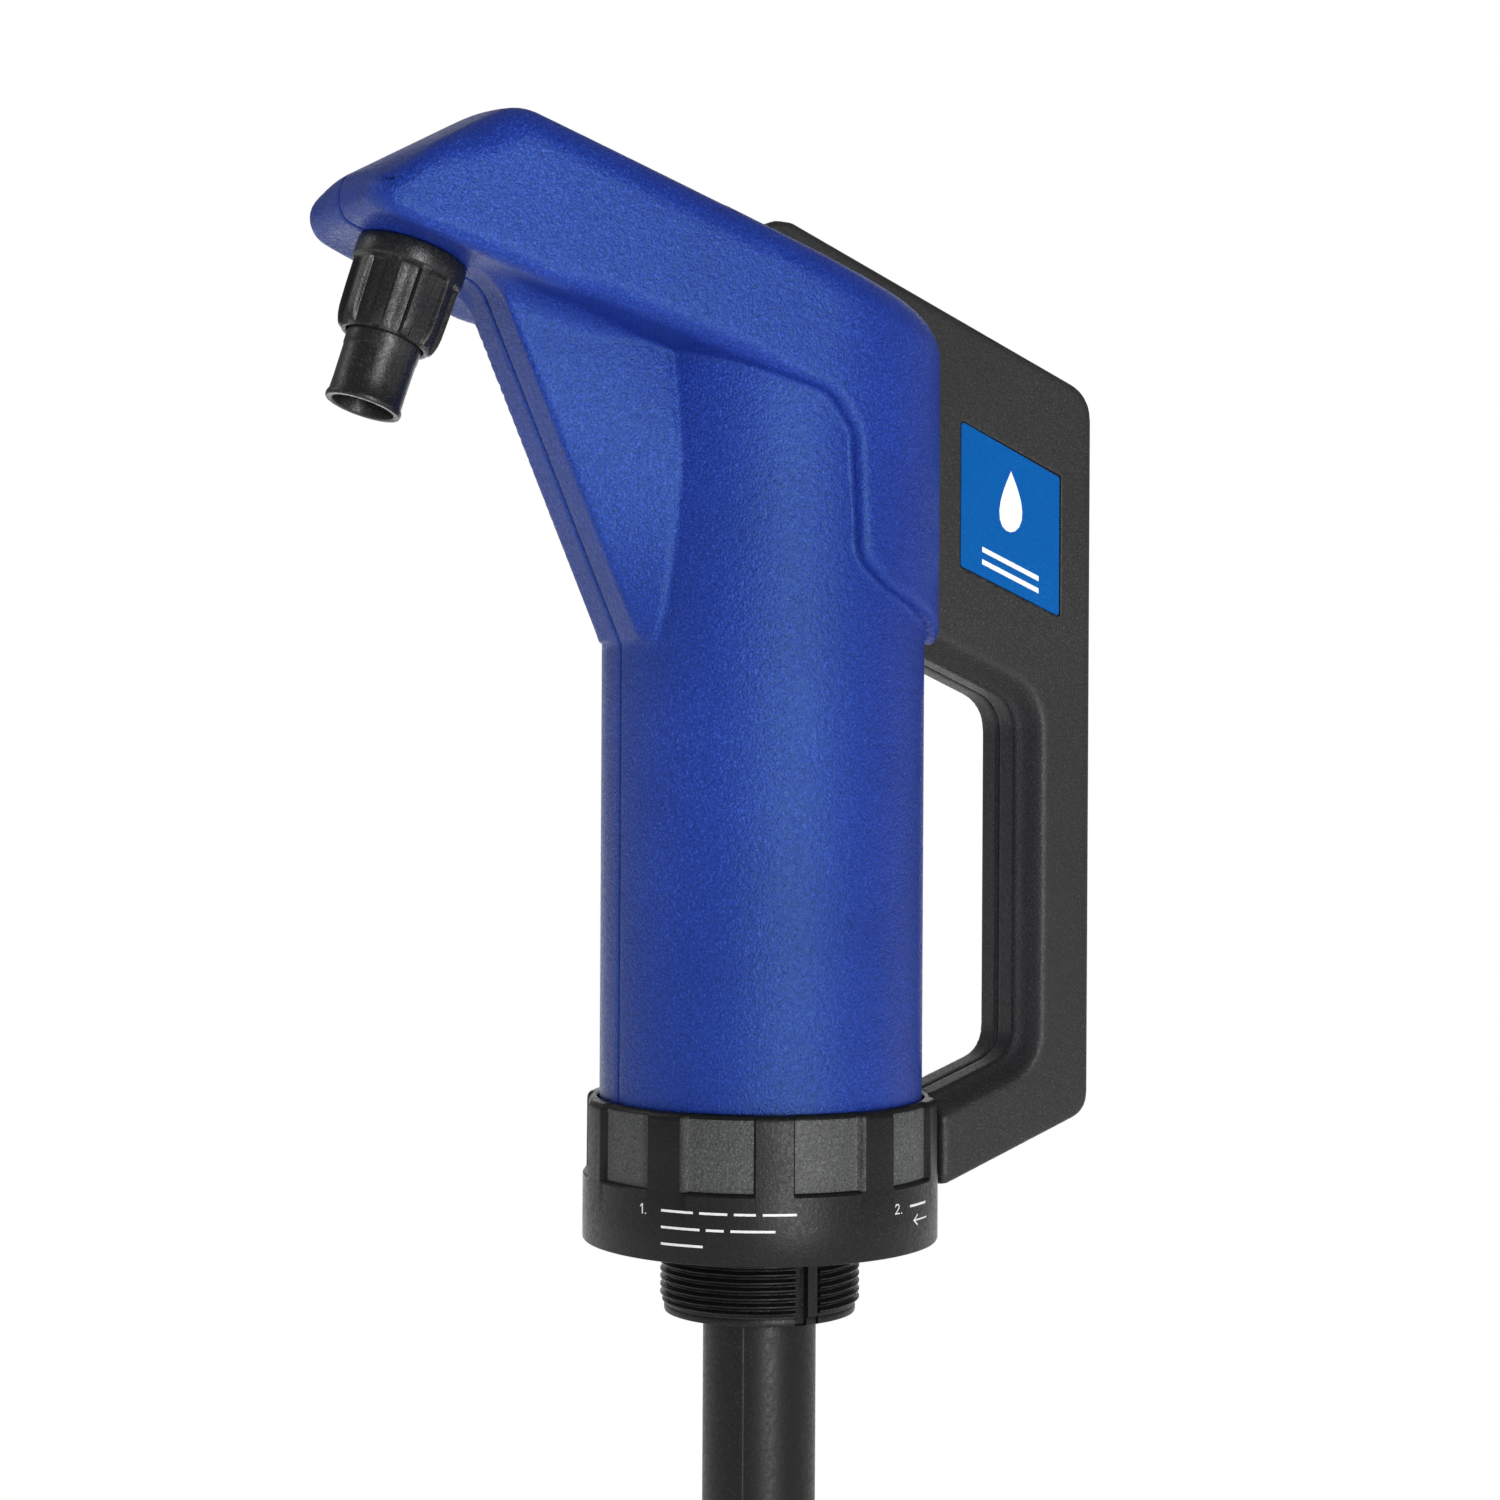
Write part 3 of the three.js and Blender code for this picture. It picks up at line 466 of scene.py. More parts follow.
# The sunk panels' black is far lighter than the ribs': painted sheen, for the light that their coarser
# grain scatters.
panel_sheen_black = moulded("panel_sheen_black", (32, 33, 33), (70, 72, 71), grain=1500.0, depth=0.00022, rough=0.46)
tube_black = moulded("tube_black", (7, 7, 7), (12, 12, 12), grain=1200.0, depth=0.00004, rough=0.42,
                     level=0.3)
white = moulded("natural_moulding", (205, 205, 196), (222, 222, 214), grain=700.0, depth=0.00002,
                rough=0.42)
rubber = moulded("black_rubber", (16, 16, 16), (27, 27, 27), grain=1200.0, depth=0.00006, rough=0.75)
film = moulded("label_film", (0, 76, 150), (2, 82, 157), grain=4000.0, depth=0.00001, rough=0.38,
               sheen=(0.2, 0.8, 1, 1))
steel = turned_steel()
ink = print_ink("pale_ink", (0.72, 0.72, 0.72, 1))
mark_white = print_ink("mark_white", (0.86, 0.87, 0.9, 1))

SLOT_FINISH = {
    "white_plastic": white, "rubber": rubber, "steel": steel, "black_plastic": black,
    "pipe_plastic": tube_black, "blue_plastic": blue, "label_film": film,
}


def dress_cad_nodes():
    """Gives every CAD node the finish of its material slot."""
    for row in frame["record"]["subparts"]:
        mesh = frame["nodes"][row["node"]].data
        mesh.materials.clear()
        mesh.materials.append(SLOT_FINISH[row["material_slot"]])


dress_cad_nodes()

# ---------------------------------------------------------------- casing
BAND_R = 52.5                           # the hood where it wraps round the trunk
TAPER = math.radians(10.6)              # each flank of the hood, closing in towards the nose
NOSE_X, NOSE_CORNER = -138.3, 10
UNDER_X, UNDER_Z, UNDER_SLOPE = -128.8, 288.7, -0.345       # the hood's lower edge
ROOF_X, ROOF_Z, ROOF_SLOPE = -97.5, 325.6, -0.360           # its upper edge
NECK_R, NECK_TOP, NECK_FOOT = 46, 39.5, 22                  # the trunk's end, inside the collar
TRUNK_TOP = 262
GUSSET_FOOT, GUSSET_TOP = 176.7, 288
GUSSET_EDGE, GUSSET_LEAN = -48.6, 0.451                     # its front at the foot, and its run per mm up
GUSSET_HALF, GUSSET_PROUD = 12.6, 1.3
# The curved edge of the gusset's panels on the trunk: height, and x and y there.
GUSSET_CREST = np.array([
    (176.7, -45.2, 16.7), (187, -44.0, 19.7), (200, -43.0, 21.7), (214, -42.3, 23.1), (226, -41.8, 24.0),
    (236, -42.0, 23.6), (246, -42.4, 22.9), (265, -43.4, 20.9), (290, -44.2, 19.2),
])
PAD_X, PAD_Z, PAD_R, PAD_RISE = -5.5, 310, 32.8, 0.16       # a faint round pad near the top of the hood
SLOT_FRONT, SLOT_FLOOR = -60, 236       # the lever's slot, open through the roof
REAR_FRONT, REAR_FLOOR = 44, 160        # and through the hood's back


def under(x):
    return UNDER_Z + UNDER_SLOPE * (x - UNDER_X)


def roof(x):
    return ROOF_Z + ROOF_SLOPE * (x - ROOF_X)


HOOD_SIDE = tabled(rounded([
    (-148.2, 295.1, 7.6), (-7.5, under(-7.5), 9), (0.2, 236, 8), (2.2, 200, 9), (12, 192.2, 10),
    (37, 182.4, 12), (49, 176, 0), (90, 160, 0), (90, roof(90), 0), (-95.2, roof(-95.2), 13),
], 10), (-160, 70), (140, 345))


def hood(x, y, z):
    """The head: its outline from the side, between two flanks that close in towards the nose."""
    wide = np.abs(y)
    s, c = math.sin(TAPER), math.cos(TAPER)
    # Behind the tangent line the flank is the round band; before it, a plane that closes in to the nose.
    flank = np.where(c * x + s * wide > 0, np.hypot(x, y) - BAND_R, c * wide - s * x - BAND_R)
    flank = meet(flank, NOSE_X - x, NOSE_CORNER)
    above = z - under(x)
    # The roof falls off to both sides, more so at the nose, where the lower edge falls off too.
    top = fade(above, 0, mix(24, 11, fade(x, -105, -125)))
    crown = mix(0.0032, 0.0077, fade(x, -116, -136))
    droop = 0.006 * np.maximum(0, wide - 14) ** 2 * fade(x, -72, -88)
    side = HOOD_SIDE(x, z + crown * y * y * top + droop * (1 - top))
    # The edges' radius: small at the back's lower edge, wide along the roof, small again at the nose.
    low_edge = mix(3.0, 6.2, fade(x, -14, -34))
    edge = mix(low_edge, 9.6, fade(above, 7, 23))
    return meet(side, flank, mix(edge, 4.6, fade(x, -104, -126)))


def gusset(x, y, z):
    """The web under the hood: a leaning front, and two panels that end in a curved edge on the trunk."""
    wide = np.abs(y)
    nose = GUSSET_EDGE - GUSSET_LEAN * (z - GUSSET_FOOT)
    front = (nose - x) / math.hypot(1, GUSSET_LEAN)
    crest_z, crest_x, crest_y = GUSSET_CREST.T
    cx, cy = np.interp(z, crest_z, crest_x), np.interp(z, crest_z, crest_y)
    proud = 1 + GUSSET_PROUD / TRUNK_R
    ex, ey = cx * proud - nose, cy * proud - GUSSET_HALF
    panel = (-(x - nose) * ey + (wide - GUSSET_HALF) * ex) / np.hypot(ex, ey)
    rear = (cy * (x - cx) - cx * (wide - cy)) / np.hypot(cx, cy)
    web = meet(meet(front, panel, 0.6), rear, 0.6)
    return np.maximum(np.maximum(web, GUSSET_FOOT - z), np.maximum(z - GUSSET_TOP, x))


def parted(solid, y):
    """Cuts a fine V along the parting plane, with a second faint step just beside it."""
    wide = np.abs(y)
    return solid + 1.1 * np.maximum(0, 1 - wide / 0.7) ** 1.3 + 0.14 * fade(wide, 1.5, 1.2)


def screw_holes(shell, solid, places, boss, x, y, z):
    """Adds a boss round each screw inside the half that faces +Y, and sinks its hole from outside."""
    boss_start, hole = 5, 4
    for px, pz in places:
        away = np.hypot(x - px, z - pz)
        shell = np.minimum(shell, np.maximum(np.maximum(away - boss, solid + 0.5), boss_start - y))
        shell = meet(shell, -np.maximum(away - hole, SCREW_SEAT - y), 0.5)
    return shell


def casing_solid(x, y, z):
    """Trunk, gusset and hood in one, before they are hollowed."""
    trunk = np.hypot(x, y)
    low = np.minimum(np.maximum(trunk - TRUNK_R, NECK_TOP - z), trunk - NECK_R)
    low = join(np.maximum(low, z - TRUNK_TOP), gusset(x, y, z), 1.0)
    fillet = 0.8 + 6.2 * fade(x, -46, -72) * mix(0.35, 1, fade(np.abs(y), 7, 14))
    pad = fade(np.hypot(x - PAD_X, z - PAD_Z), PAD_R, PAD_R - 1.4) * fade(x, 3, -13)
    return join(hood(x, y, z), low, fillet) - PAD_RISE * pad


def lever_openings(x, y, z):
    """The slot that the lever swings in, open through the hood's roof and back."""
    wide = np.abs(y) - SLOT_HALF
    front = SLOT_FRONT - x + 0.5 * np.maximum(0, TRUNK_TOP - z)
    slot = np.maximum(np.maximum(wide, front), SLOT_FLOOR - z)
    beyond = np.maximum(REAR_FLOOR - z, TRUNK_R - np.hypot(x, y))
    rear = np.maximum(np.maximum(wide, REAR_FRONT - x), beyond)
    return np.minimum(slot, rear)


def casing(side):
    """The field of the hollow casing; the half that faces +Y also has the screws' bosses."""
    def field(x, y, z):
        solid = casing_solid(x, y, z)
        outer = np.maximum(parted(solid, y), NECK_FOOT - z)
        outer = meet(outer, -lever_openings(x, y, z), 1.6)
        shell = meet(outer, -(solid + WALL), 0.8)
        if side > 0:
            shell = screw_holes(shell, solid, CASING_SCREWS, 5.4, x, y, z)
        return shell
    return field


def axis_lines(low, high, step):
    return np.linspace(low, high, max(2, round((high - low) / step) + 1))


def moulding(name, field, side, x_range, reach, z_range, **facts):
    """Meshes one half of a two-part moulding, with finer grid lines at its parting plane."""
    step = 1.35
    near = np.array([-0.15, 0.12, 0.4, 0.75, 1.15, 1.5, 2.2])
    ys = np.concatenate([near, axis_lines(near[-1], reach, step)[1:]])
    ys = ys if side > 0 else -ys[::-1]
    verts, faces = net(field, axis_lines(*x_range, step), ys, axis_lines(*z_range, step))
    obj = piece(name, verts, faces, **facts)
    halve(obj, side)
    return obj


for side, word in SIDES:
    moulding(f"casing_{word}", casing(side), side, (-140, 55), 55, (20, 328),
             body="pump_body", slot="blue_plastic", material=blue, replaces=[f"housing_{word}"])

# ---------------------------------------------------------------- lever and grip
RIM_HALF = 9.0          # the grip's half width at the rim of its opening
RIM_SLOPE = 7.0         # how far from the rim it reaches the full width
LEVER_PLATE = 12.3      # from the mid-plane to the pockets' floor
PIVOT_R, PIN_R = 7.4, 4.2
LEVER_RANGES = ((-80, 120), (0, 315))
LEVER_OUTLINE = tabled(rounded([
    (PIVOT[0] - 12, PIVOT[1] - 9, 9), (PIVOT[0] - 12, PIVOT[1] + 12, 9), (-31, 296, 6), (-10.5, 288, 1),
    (-7.6, 301.3, 4), (0.2, 301.1, 4), (110.4, 257.5, 11.5), (110.4, 32.6, 8), (54.8, 12.4, 1.5),
    (54.8, 40, 1.5), (86, 51.3, 10), (86, 160.2, 12), (49, 175.3, 2), (49, 238.5, 3), (8, 243, 8),
    (-14, 247, 8),
]), *LEVER_RANGES)
OPENING = tabled(rounded([(20, 27.6, 0), (86, 51.3, 10), (86, 160.2, 12), (20, 186.6, 0)]), *LEVER_RANGES)
CHEEK_POCKET = tabled(np.array([
    (-80, 301), (-46, 301), (-46, 291.5), (-32, 290), (-13, 283.5), (-5.5, 297.0), (1, 296.4), (51, 276.5),
    (97, 258.3), (106.1, 249), (106.1, 186), (92, 182), (52, 197), (52, 230), (40, 220), (-30, 220),
    (-80, 262),
]), *LEVER_RANGES)
GRIP_POCKET = tabled(np.array([
    (94.5, 175), (106.1, 179.5), (106.1, 35.8), (60, 18.6), (60, 31), (86, 40.5), (94.5, 44),
]), *LEVER_RANGES)


def lever(side):
    """The field of the lever: a plate that thins towards its opening's rim, with pockets inside."""
    def field(x, y, z):
        away = OPENING(x, z)
        rise = fade(away, 0, RIM_SLOPE)
        steep = 1 + 0.55 * np.clip(4 * rise * (1 - rise), 0, 1)
        cheek = (np.abs(y) - mix(RIM_HALF, LEVER_HALF, rise)) / steep
        solid = meet(LEVER_OUTLINE(x, z), cheek, mix(0.9, 2.1, fade(away, 6, 11)))
        pockets = np.maximum(np.minimum(CHEEK_POCKET(x, z), GRIP_POCKET(x, z)), np.abs(y) - LEVER_PLATE)
        shell = np.maximum(parted(solid, y), -pockets)
        for (hole_x, hole_z), radius in ((PIVOT, PIVOT_R), (CROSS_PIN, PIN_R)):
            shell = np.maximum(shell, radius - np.hypot(x - hole_x, z - hole_z))
        if side > 0:
            shell = screw_holes(shell, solid, LEVER_SCREWS, 4.8, x, y, z)
        return shell
    return field


LABEL = [(60.6, 246.2, 0.8), (60.6, 202, 0.8), (97.8, 187.6, 0.8), (97.8, 231, 0.8)]
LABEL_X, LABEL_Z = 79, 216              # its middle
LABEL_GAP = 0.35                        # the margin round it, in its recess
LABEL_SLOPE = -0.39                     # its lower edge, across


def drop(cx, cz, size, steps=20):
    """A liquid drop's outline."""
    points = []
    for k in range(steps):
        a = 2 * math.pi * k / steps
        points.append((cx + size * 0.62 * math.sin(a) * math.sin(a / 2) ** 1.2, cz + size * math.cos(a)))
    return np.array(points)


def bar(z, x0=68.5, x1=89.9, height=1.6):
    """A bar across the label, parallel to its lower edge."""
    fall = LABEL_SLOPE * (x1 - x0)
    return np.array([(x0, z), (x0, z + height), (x1, z + height + fall), (x1, z + fall)])


def crowned(name, outline, y_back, y_face, bevel, **facts):
    """A thin plate parallel to the mid-plane, its face's edges eased."""
    middle = outline.mean(0)
    inset = outline + (middle - outline) / np.linalg.norm(outline - middle, axis=1)[:, None] * bevel
    y_edge = y_face - math.copysign(bevel, y_face - y_back)
    rings = [at_depth(outline, y_back), at_depth(outline, y_edge), at_depth(inset, y_face)]
    obj = piece(name, *layered(rings), smooth_shade=False, **facts)
    outward(obj.data)


def label_recess():
    """The label's outline with its gap round it."""
    corners = []
    for x, z, r in LABEL:
        x += math.copysign(LABEL_GAP, x - LABEL_X)
        z += math.copysign(LABEL_GAP, z - LABEL_Z)
        corners.append((x, z, r))
    return rounded(corners, 3)


def lever_half(side, word):
    """One half of the lever, with a shallow recess for its label."""
    half = moulding(f"lever_shell_{word}", lever(side), side, (-73, 113), 18, (10, 304),
                    body="lever", slot="black_plastic", material=black, replaces=[f"lever_{word}"])
    floor, beyond = side * (LEVER_HALF - 1.0), side * (LEVER_HALF + 2)
    recess = label_recess()
    carve(half, *layered([at_depth(recess, floor), at_depth(recess, beyond)]))


def label(side, word):
    """The film, with a plain drop and two bars printed on it."""
    back, face = side * (LEVER_HALF - 0.8), side * (LEVER_HALF - 0.15)
    crowned(f"label_plate_{word}", rounded(LABEL, 3), back, face, 0.12,
            body="lever", slot="label_film", material=film, replaces=[f"label_{word}"])
    back, face = side * (LEVER_HALF - 0.4), side * (LEVER_HALF - 0.13)
    for k, shape in enumerate([drop(79.2, 222.5, 9.5), bar(206.6), bar(202.8)]):
        crowned(f"label_mark_{word}_{k + 1}", shape, back, face, 0.04,
                body="lever", slot="label_film", material=mark_white)


for side, word in SIDES:
    lever_half(side, word)
    label(side, word)

# ---------------------------------------------------------------- clamp collar
COLLAR_R = 53.1
RIB_R, PANEL_R = 52.85, 51.3            # the ribs of its grip zone and the panels sunk between them
GRIP_FOOT, GRIP_TOP = 21, 41
PANELS = 10
PANEL_TURN = math.radians(-98.0)        # the middle of the first panel
PANEL_HALF = math.radians(12.1)
STEEP, SLANT = math.radians(0.5), math.radians(2.5)   # the two side walls of a panel


def panel_places():
    """For each panel: its middle, and the turn towards its slanted wall."""
    for k in range(PANELS):
        turn = k * 2 * math.pi / PANELS
        yield PANEL_TURN + turn, math.copysign(1, math.sin(turn + math.pi / PANELS))


def collar_angles():
    """Even steps round the collar, with a close pair at each corner of the panels' walls."""
    walls = [middle + way * (at + nudge)
             for middle, way in panel_places()
             for at in (PANEL_HALF, PANEL_HALF - SLANT, -PANEL_HALF, STEEP - PANEL_HALF)
             for nudge in (-0.002, 0.002)]
    return sorted_turns(around(120), walls)


def grip(extra=0.0, depth=RIB_R - PANEL_R):
    """The collar's radius in its grip zone."""
    def radius(a):
        r = np.full(len(a), float(RIB_R))
        for middle, way in panel_places():
            turn = way * wrapped(a - middle)
            sunk = np.minimum((PANEL_HALF - turn) / SLANT, (PANEL_HALF + turn) / STEEP)
            r = r - depth * np.clip(sunk, 0, 1)
        return r + extra
    return radius


def clamp_collar():
    """A smooth skirt below a grip zone of sunk panels between ribs."""
    profile = [
        (50.2, 0.0), (52.3, 0.0), (52.85, 0.2), (COLLAR_R, 0.7), (COLLAR_R, 10), (53.05, 19.4),
        (grip(0.12, 0.35), 20.0), (grip(0.12, 1.3), 20.2), (grip(0.1), 20.5), (grip(0.05), 30),
        (grip(), 40.2), (grip(-0.12), 41.0), (grip(-0.45), 41.7), (grip(-1.0), 42.25), (grip(-1.5), 42.45),
        (50.0, 42.5), (49.4, 42.5), (48.9, 42.1), (48.8, 41.5), (48.8, 36.0), (46.6, 36.0), (46.6, 6.2),
        (36.0, 6.2), (36.0, 3.2), (50.0, 3.2),
    ]
    verts, faces = spun(profile, collar_angles())
    collar = piece("clamp_collar_body", verts, faces, "collar", "black_plastic", smooth_black,
                   replaces=["clamp_collar"])
    sharpen(collar, 28)
    collar.data.materials.append(panel_sheen_black)
    # The sunk panels take the lighter black, whose lightness is a painted sheen.
    for face in collar.data.polygons:
        from_axis = math.hypot(*face.center.xy) * 1000
        height = face.center.z * 1000
        if GRIP_FOOT < height < GRIP_TOP and 51 < from_axis < PANEL_R + 0.12:
            face.material_index = 1


clamp_collar()

# ---------------------------------------------------------------- printed marks on the collar
INK_UNDER, INK_OVER = -0.05, 0.04       # the ink's back and face, from the collar's surface
STROKE, DASH = 0.34, 0.7                # the width of a numeral's line and of a dash
ONE = [[(0.1, 2.0), (0.8, 2.6), (0.8, 0)], [(1.9, 0.0), (2.0, 0.0)]]
TWO = [
    [(0, 2.1), (0.4, 2.6), (1.2, 2.6), (1.6, 2.1), (1.5, 1.5), (0, 0), (1.7, 0)],
    [(2.7, 0.0), (2.8, 0.0)],
]
ARROW = [[(8, 1.0), (0, 1.0), (2.0, 2.4)], [(0, 1.0), (2.0, -0.4)]]


def stroke_parts(a, b, width):
    """A straight stroke as flat four-cornered parts about 2 mm long, short enough to follow the collar."""
    length = np.linalg.norm(b - a)
    along = (b - a) / max(length, 1e-9)
    across = np.array([-along[1], along[0]]) * width / 2
    parts = max(1, int(length / 2))
    for k in range(parts):
        start = a + (b - a) * k / parts - along * (width / 2 if k == 0 else 0)
        end = a + (b - a) * (k + 1) / parts + along * (width / 2 if k == parts - 1 else 0)
        yield [start - across, end - across, end + across, start + across]


def mark(name, strokes, degrees, z0, width):
    """Printed strokes wrapped on the collar: lists of (arc, height) points, from a turn off its front."""
    first = FRONT + math.radians(degrees)
    box = [(4, 5, 6, 7), (3, 2, 1, 0)] + grid_faces(2, 4, closed=False)
    verts, faces = [], []
    for stroke in (np.array(points, float) for points in strokes):
        for a, b in zip(stroke[:-1], stroke[1:]):
            for part in stroke_parts(a, b, width):
                base = len(verts)
                for radius in (COLLAR_R + INK_UNDER, COLLAR_R + INK_OVER):
                    for arc, height in part:
                        turn = first + arc / COLLAR_R
                        verts.append((radius * math.cos(turn), radius * math.sin(turn), z0 + height))
                faces += [tuple(base + i for i in face) for face in box]
    piece(name, verts, faces, "collar", "black_plastic", ink, smooth_shade=False)


def dashes(lengths, gap=2.6, height=1.2):
    """A row of plain dashes, in place of words."""
    strokes, at = [], 0.0
    for length in lengths:
        strokes.append([(at, height), (at + length, height)])
        at += length + gap
    return strokes


mark("step_one", ONE, -40, 13.4, STROKE)
STEP_ONE_ROWS = [(13.6, [9.5, 7.5, 5.5, 9.0]), (8.9, [11.5, 4.5, 12.0]), (4.2, [12.5])]
for k, (height, lengths) in enumerate(STEP_ONE_ROWS):
    mark(f"step_one_line_{k + 1}", dashes(lengths), -31.5, height, DASH)
mark("step_two", TWO, 47, 12.6, STROKE)
mark("step_two_line", dashes([9]), 55, 12.8, DASH)
mark("step_two_arrow", ARROW, 57, 8.6, 0.45)

# ---------------------------------------------------------------- bung adapter and gasket
PITCH, CREST, ROOT = 2.309, 29.8, 28.45
THREAD_FOOT, RUN_IN = -19.3, 1.5        # where the thread starts, and how soon it reaches its depth
LIP_R = 28.6
VENT = (-4.6, 3.0)                      # a notch through the thread on both sides, from x to x
RIB = (-1.0, 2.3)                       # and the rib that stands in it


def adapter_angles():
    """Even steps round the adapter, with a close pair at each edge of the notches and ribs."""
    edges = [math.atan2(sign * math.sqrt(LIP_R ** 2 - x * x), x) + nudge
             for sign in (-1, 1) for x in (*VENT, *RIB) for nudge in (-0.004, 0.004)]
    return sorted_turns(around(144), edges)


def threaded(z):
    """The radius at height z of a right-hand thread, with the notches and ribs across it."""
    depth = min(1, (z - THREAD_FOOT) / RUN_IN)

    def radius(a):
        phase = (z / PITCH - a / (2 * math.pi)) % 1.0
        ridge = np.clip(1.25 - 2.9 * np.abs(phase - 0.5), 0, 1)
        r = ROOT + (CREST - ROOT) * depth * ridge
        x, level = LIP_R * np.cos(a), np.abs(np.sin(a))
        notched = (x > VENT[0]) & (x < VENT[1])
        ribbed = (x > RIB[0]) & (x < RIB[1])
        r = np.where(notched, np.minimum(27.0 / level, r), r)
        return np.where(ribbed, np.minimum(29.3 / level, 29.6), r)
    return radius


def lip(extra=0.0):
    """The radius of the smooth ring below the thread, flat where the notches open into it."""
    def radius(a):
        x = LIP_R * np.cos(a)
        gap = ((x > VENT[0]) & (x < RIB[0])) | ((x > RIB[1]) & (x < VENT[1]))
        return np.where(gap, 27.2 / np.maximum(np.abs(np.sin(a)), 0.5), LIP_R) + extra
    return radius


def bung_adapter():
    """The bung thread, with a smooth ring below it and the flange that the collar holds above."""
    thread = [(threaded(z), z) for z in np.arange(THREAD_FOOT, -0.2, PITCH / 13)]
    profile = [
        (17.1, 34), (17.1, -21.8), (27.9, -21.8), (lip(-0.15), -21.6), (lip(), -21.2), (lip(), -19.9),
        (lip(-0.2), -19.5), *thread, (28.3, 0.4), (28.3, 9.8), (45.8, 9.8), (45.8, 21.6), (42.6, 21.6),
        (42.6, 26), (39.5, 26), (39.5, 29.2), (42.6, 29.2), (42.6, 34),
    ]
    verts, faces = spun(profile, adapter_angles())
    adapter = piece("adapter_body", verts, faces, "pump_body", "black_plastic", smooth_black,
                    replaces=["bung_adapter"])
    sharpen(adapter, 40)


def gasket():
    """The flat ring between the collar and the drum."""
    profile = rounded([(31, 0.0, 0.5), (49.6, 0.0, 0.5), (49.6, 2.9, 0.5), (31, 2.9, 0.5)], 2)
    piece("gasket_ring", *spun(profile, around(96)), "gasket", "rubber", rubber, replaces=["drum_gasket"])


bung_adapter()
gasket()

# ---------------------------------------------------------------- spout
FLUTES = 10
FLUTE = math.pi / FLUTES                # half the turn from one flute to the next
FLUTE_FLOOR, FLUTE_EDGE = 0.58, 0.74    # where a flute's floor and its wall end, as shares of that


def fluted(base, depth):
    """A nut's radius: wide flutes with flat floors and crisp lands between them."""
    def radius(a):
        turn = np.abs((a + FLUTE) % (2 * FLUTE) - FLUTE) / FLUTE
        wall = np.clip((FLUTE_EDGE - turn) / (FLUTE_EDGE - FLUTE_FLOOR), 0, 1)
        return base - depth * wall * (0.82 + 0.18 * np.clip(1 - turn / 0.6, 0, 1))
    return radius


def flute_angles():
    """Even steps round the nut, with a close pair at each edge of the flutes."""
    edges = [(2 * k + side * edge) * FLUTE + nudge
             for edge in (FLUTE_FLOOR, FLUTE_EDGE) for k in range(FLUTES)
             for side in (-1, 1) for nudge in (-0.003, 0.003)]
    return sorted_turns(around(160), edges)


def on_spout(name, profile, angles, body, node, sharp):
    """A part made about Z and put onto the spout's axis, +Z pointing out of the spout."""
    verts, faces = spun(profile, angles)
    turn = np.array(Matrix.Rotation(math.pi + SPOUT_TILT, 3, "Y"))
    verts = verts @ turn.T + np.array([SPOUT_TOP[0], 0, SPOUT_TOP[1]])
    obj = piece(name, verts, faces, body, "black_plastic", spout_black, replaces=[node])
    sharpen(obj, sharp)


NUT = [
    (12.0, 0.4), (15.1, 0.4), (15.6, 0.7), (15.75, 1.3), (15.75, 5.6), (15.6, 6.1), (15.3, 6.4),
    (15.2, 6.6), (fluted(15.15, 1.35), 7.4), (fluted(15.1, 1.7), 8.2), (fluted(15.0, 1.8), 15),
    (fluted(14.8, 1.75), 21.0), (fluted(14.5, 1.6), 23.2), (fluted(14.0, 1.2), 25.0),
    (fluted(13.4, 0.8), 26.2), (12.4, 26.8), (11.6, 26.9), (11.2, 26.6), (11.2, 18.6), (13.2, 18.6),
    (13.2, 2.6), (12.0, 2.6),
]
NOZZLE = [
    (7.6, 14.4), (12.6, 14.4), (12.6, 18.2), (10.75, 18.2), (10.7, 26), (10.6, 30.6), (10.45, 30.9),
    (10.4, 31.2), (10.3, 40), (10.35, 44.2), (10.75, 45.0), (10.85, 45.5), (10.8, 46.2), (10.5, 46.6),
    (9.3, 46.6), (8.9, 46.4), (8.7, 45.9), (8.3, 43), (7.6, 36),
]
on_spout("spout_nut_body", NUT, flute_angles(), "nut", "spout_nut", 24)
on_spout("nozzle_body", NOZZLE, around(96), "nozzle", "spout_nozzle", 40)

# ---------------------------------------------------------------- suction side
TUBE_BORE, TUBE_R, TUBE_FOOT, TUBE_TOP = 13.8, 16.8, -420, 91.5
SEAM = math.radians(-137.51)            # where the tube's fine seam runs
SEAM_HALF = 0.06                        # half the turn that is meshed finely for it
KNURLS = 24


def seamed(r, seam=0.22):
    """A radius with a fine raised seam."""
    return lambda a: r + seam * np.exp(-(wrapped(a - SEAM) * r / 0.35) ** 2)


def outer_tube():
    """The suction tube, with its fine seam."""
    angles = sorted_turns(around(72), SEAM + np.linspace(-SEAM_HALF, SEAM_HALF, 13))
    profile = [
        (TUBE_BORE, TUBE_FOOT), (seamed(TUBE_R), TUBE_FOOT), (seamed(TUBE_R + 0.1), TUBE_FOOT + 0.4),
        (seamed(TUBE_R + 0.1), -200), (seamed(TUBE_R + 0.1), TUBE_TOP - 0.5), (seamed(TUBE_R), TUBE_TOP),
        (TUBE_BORE, TUBE_TOP),
    ]
    tube = piece("outer_tube", *spun(profile, angles), "pump_body", "pipe_plastic", tube_black,
                 replaces=["suction_tube"])
    sharpen(tube, 50)


def drop_tube():
    """The tube that slides out of the suction tube."""
    profile = rounded([(10.6, -460, 0.3), (13.3, -460, 0.3), (13.3, -20, 0.3), (10.6, -20, 0.3)], 2)
    inner = piece("drop_tube_body", *spun(profile, around(64)), "drop_tube", "pipe_plastic", tube_black,
                  replaces=["inner_tube"])
    sharpen(inner, 50)


def knurled(base, depth):
    """A radius with narrow grooves along the axis."""
    return lambda a: base - depth * (0.5 + 0.5 * np.cos(a * KNURLS)) ** 3


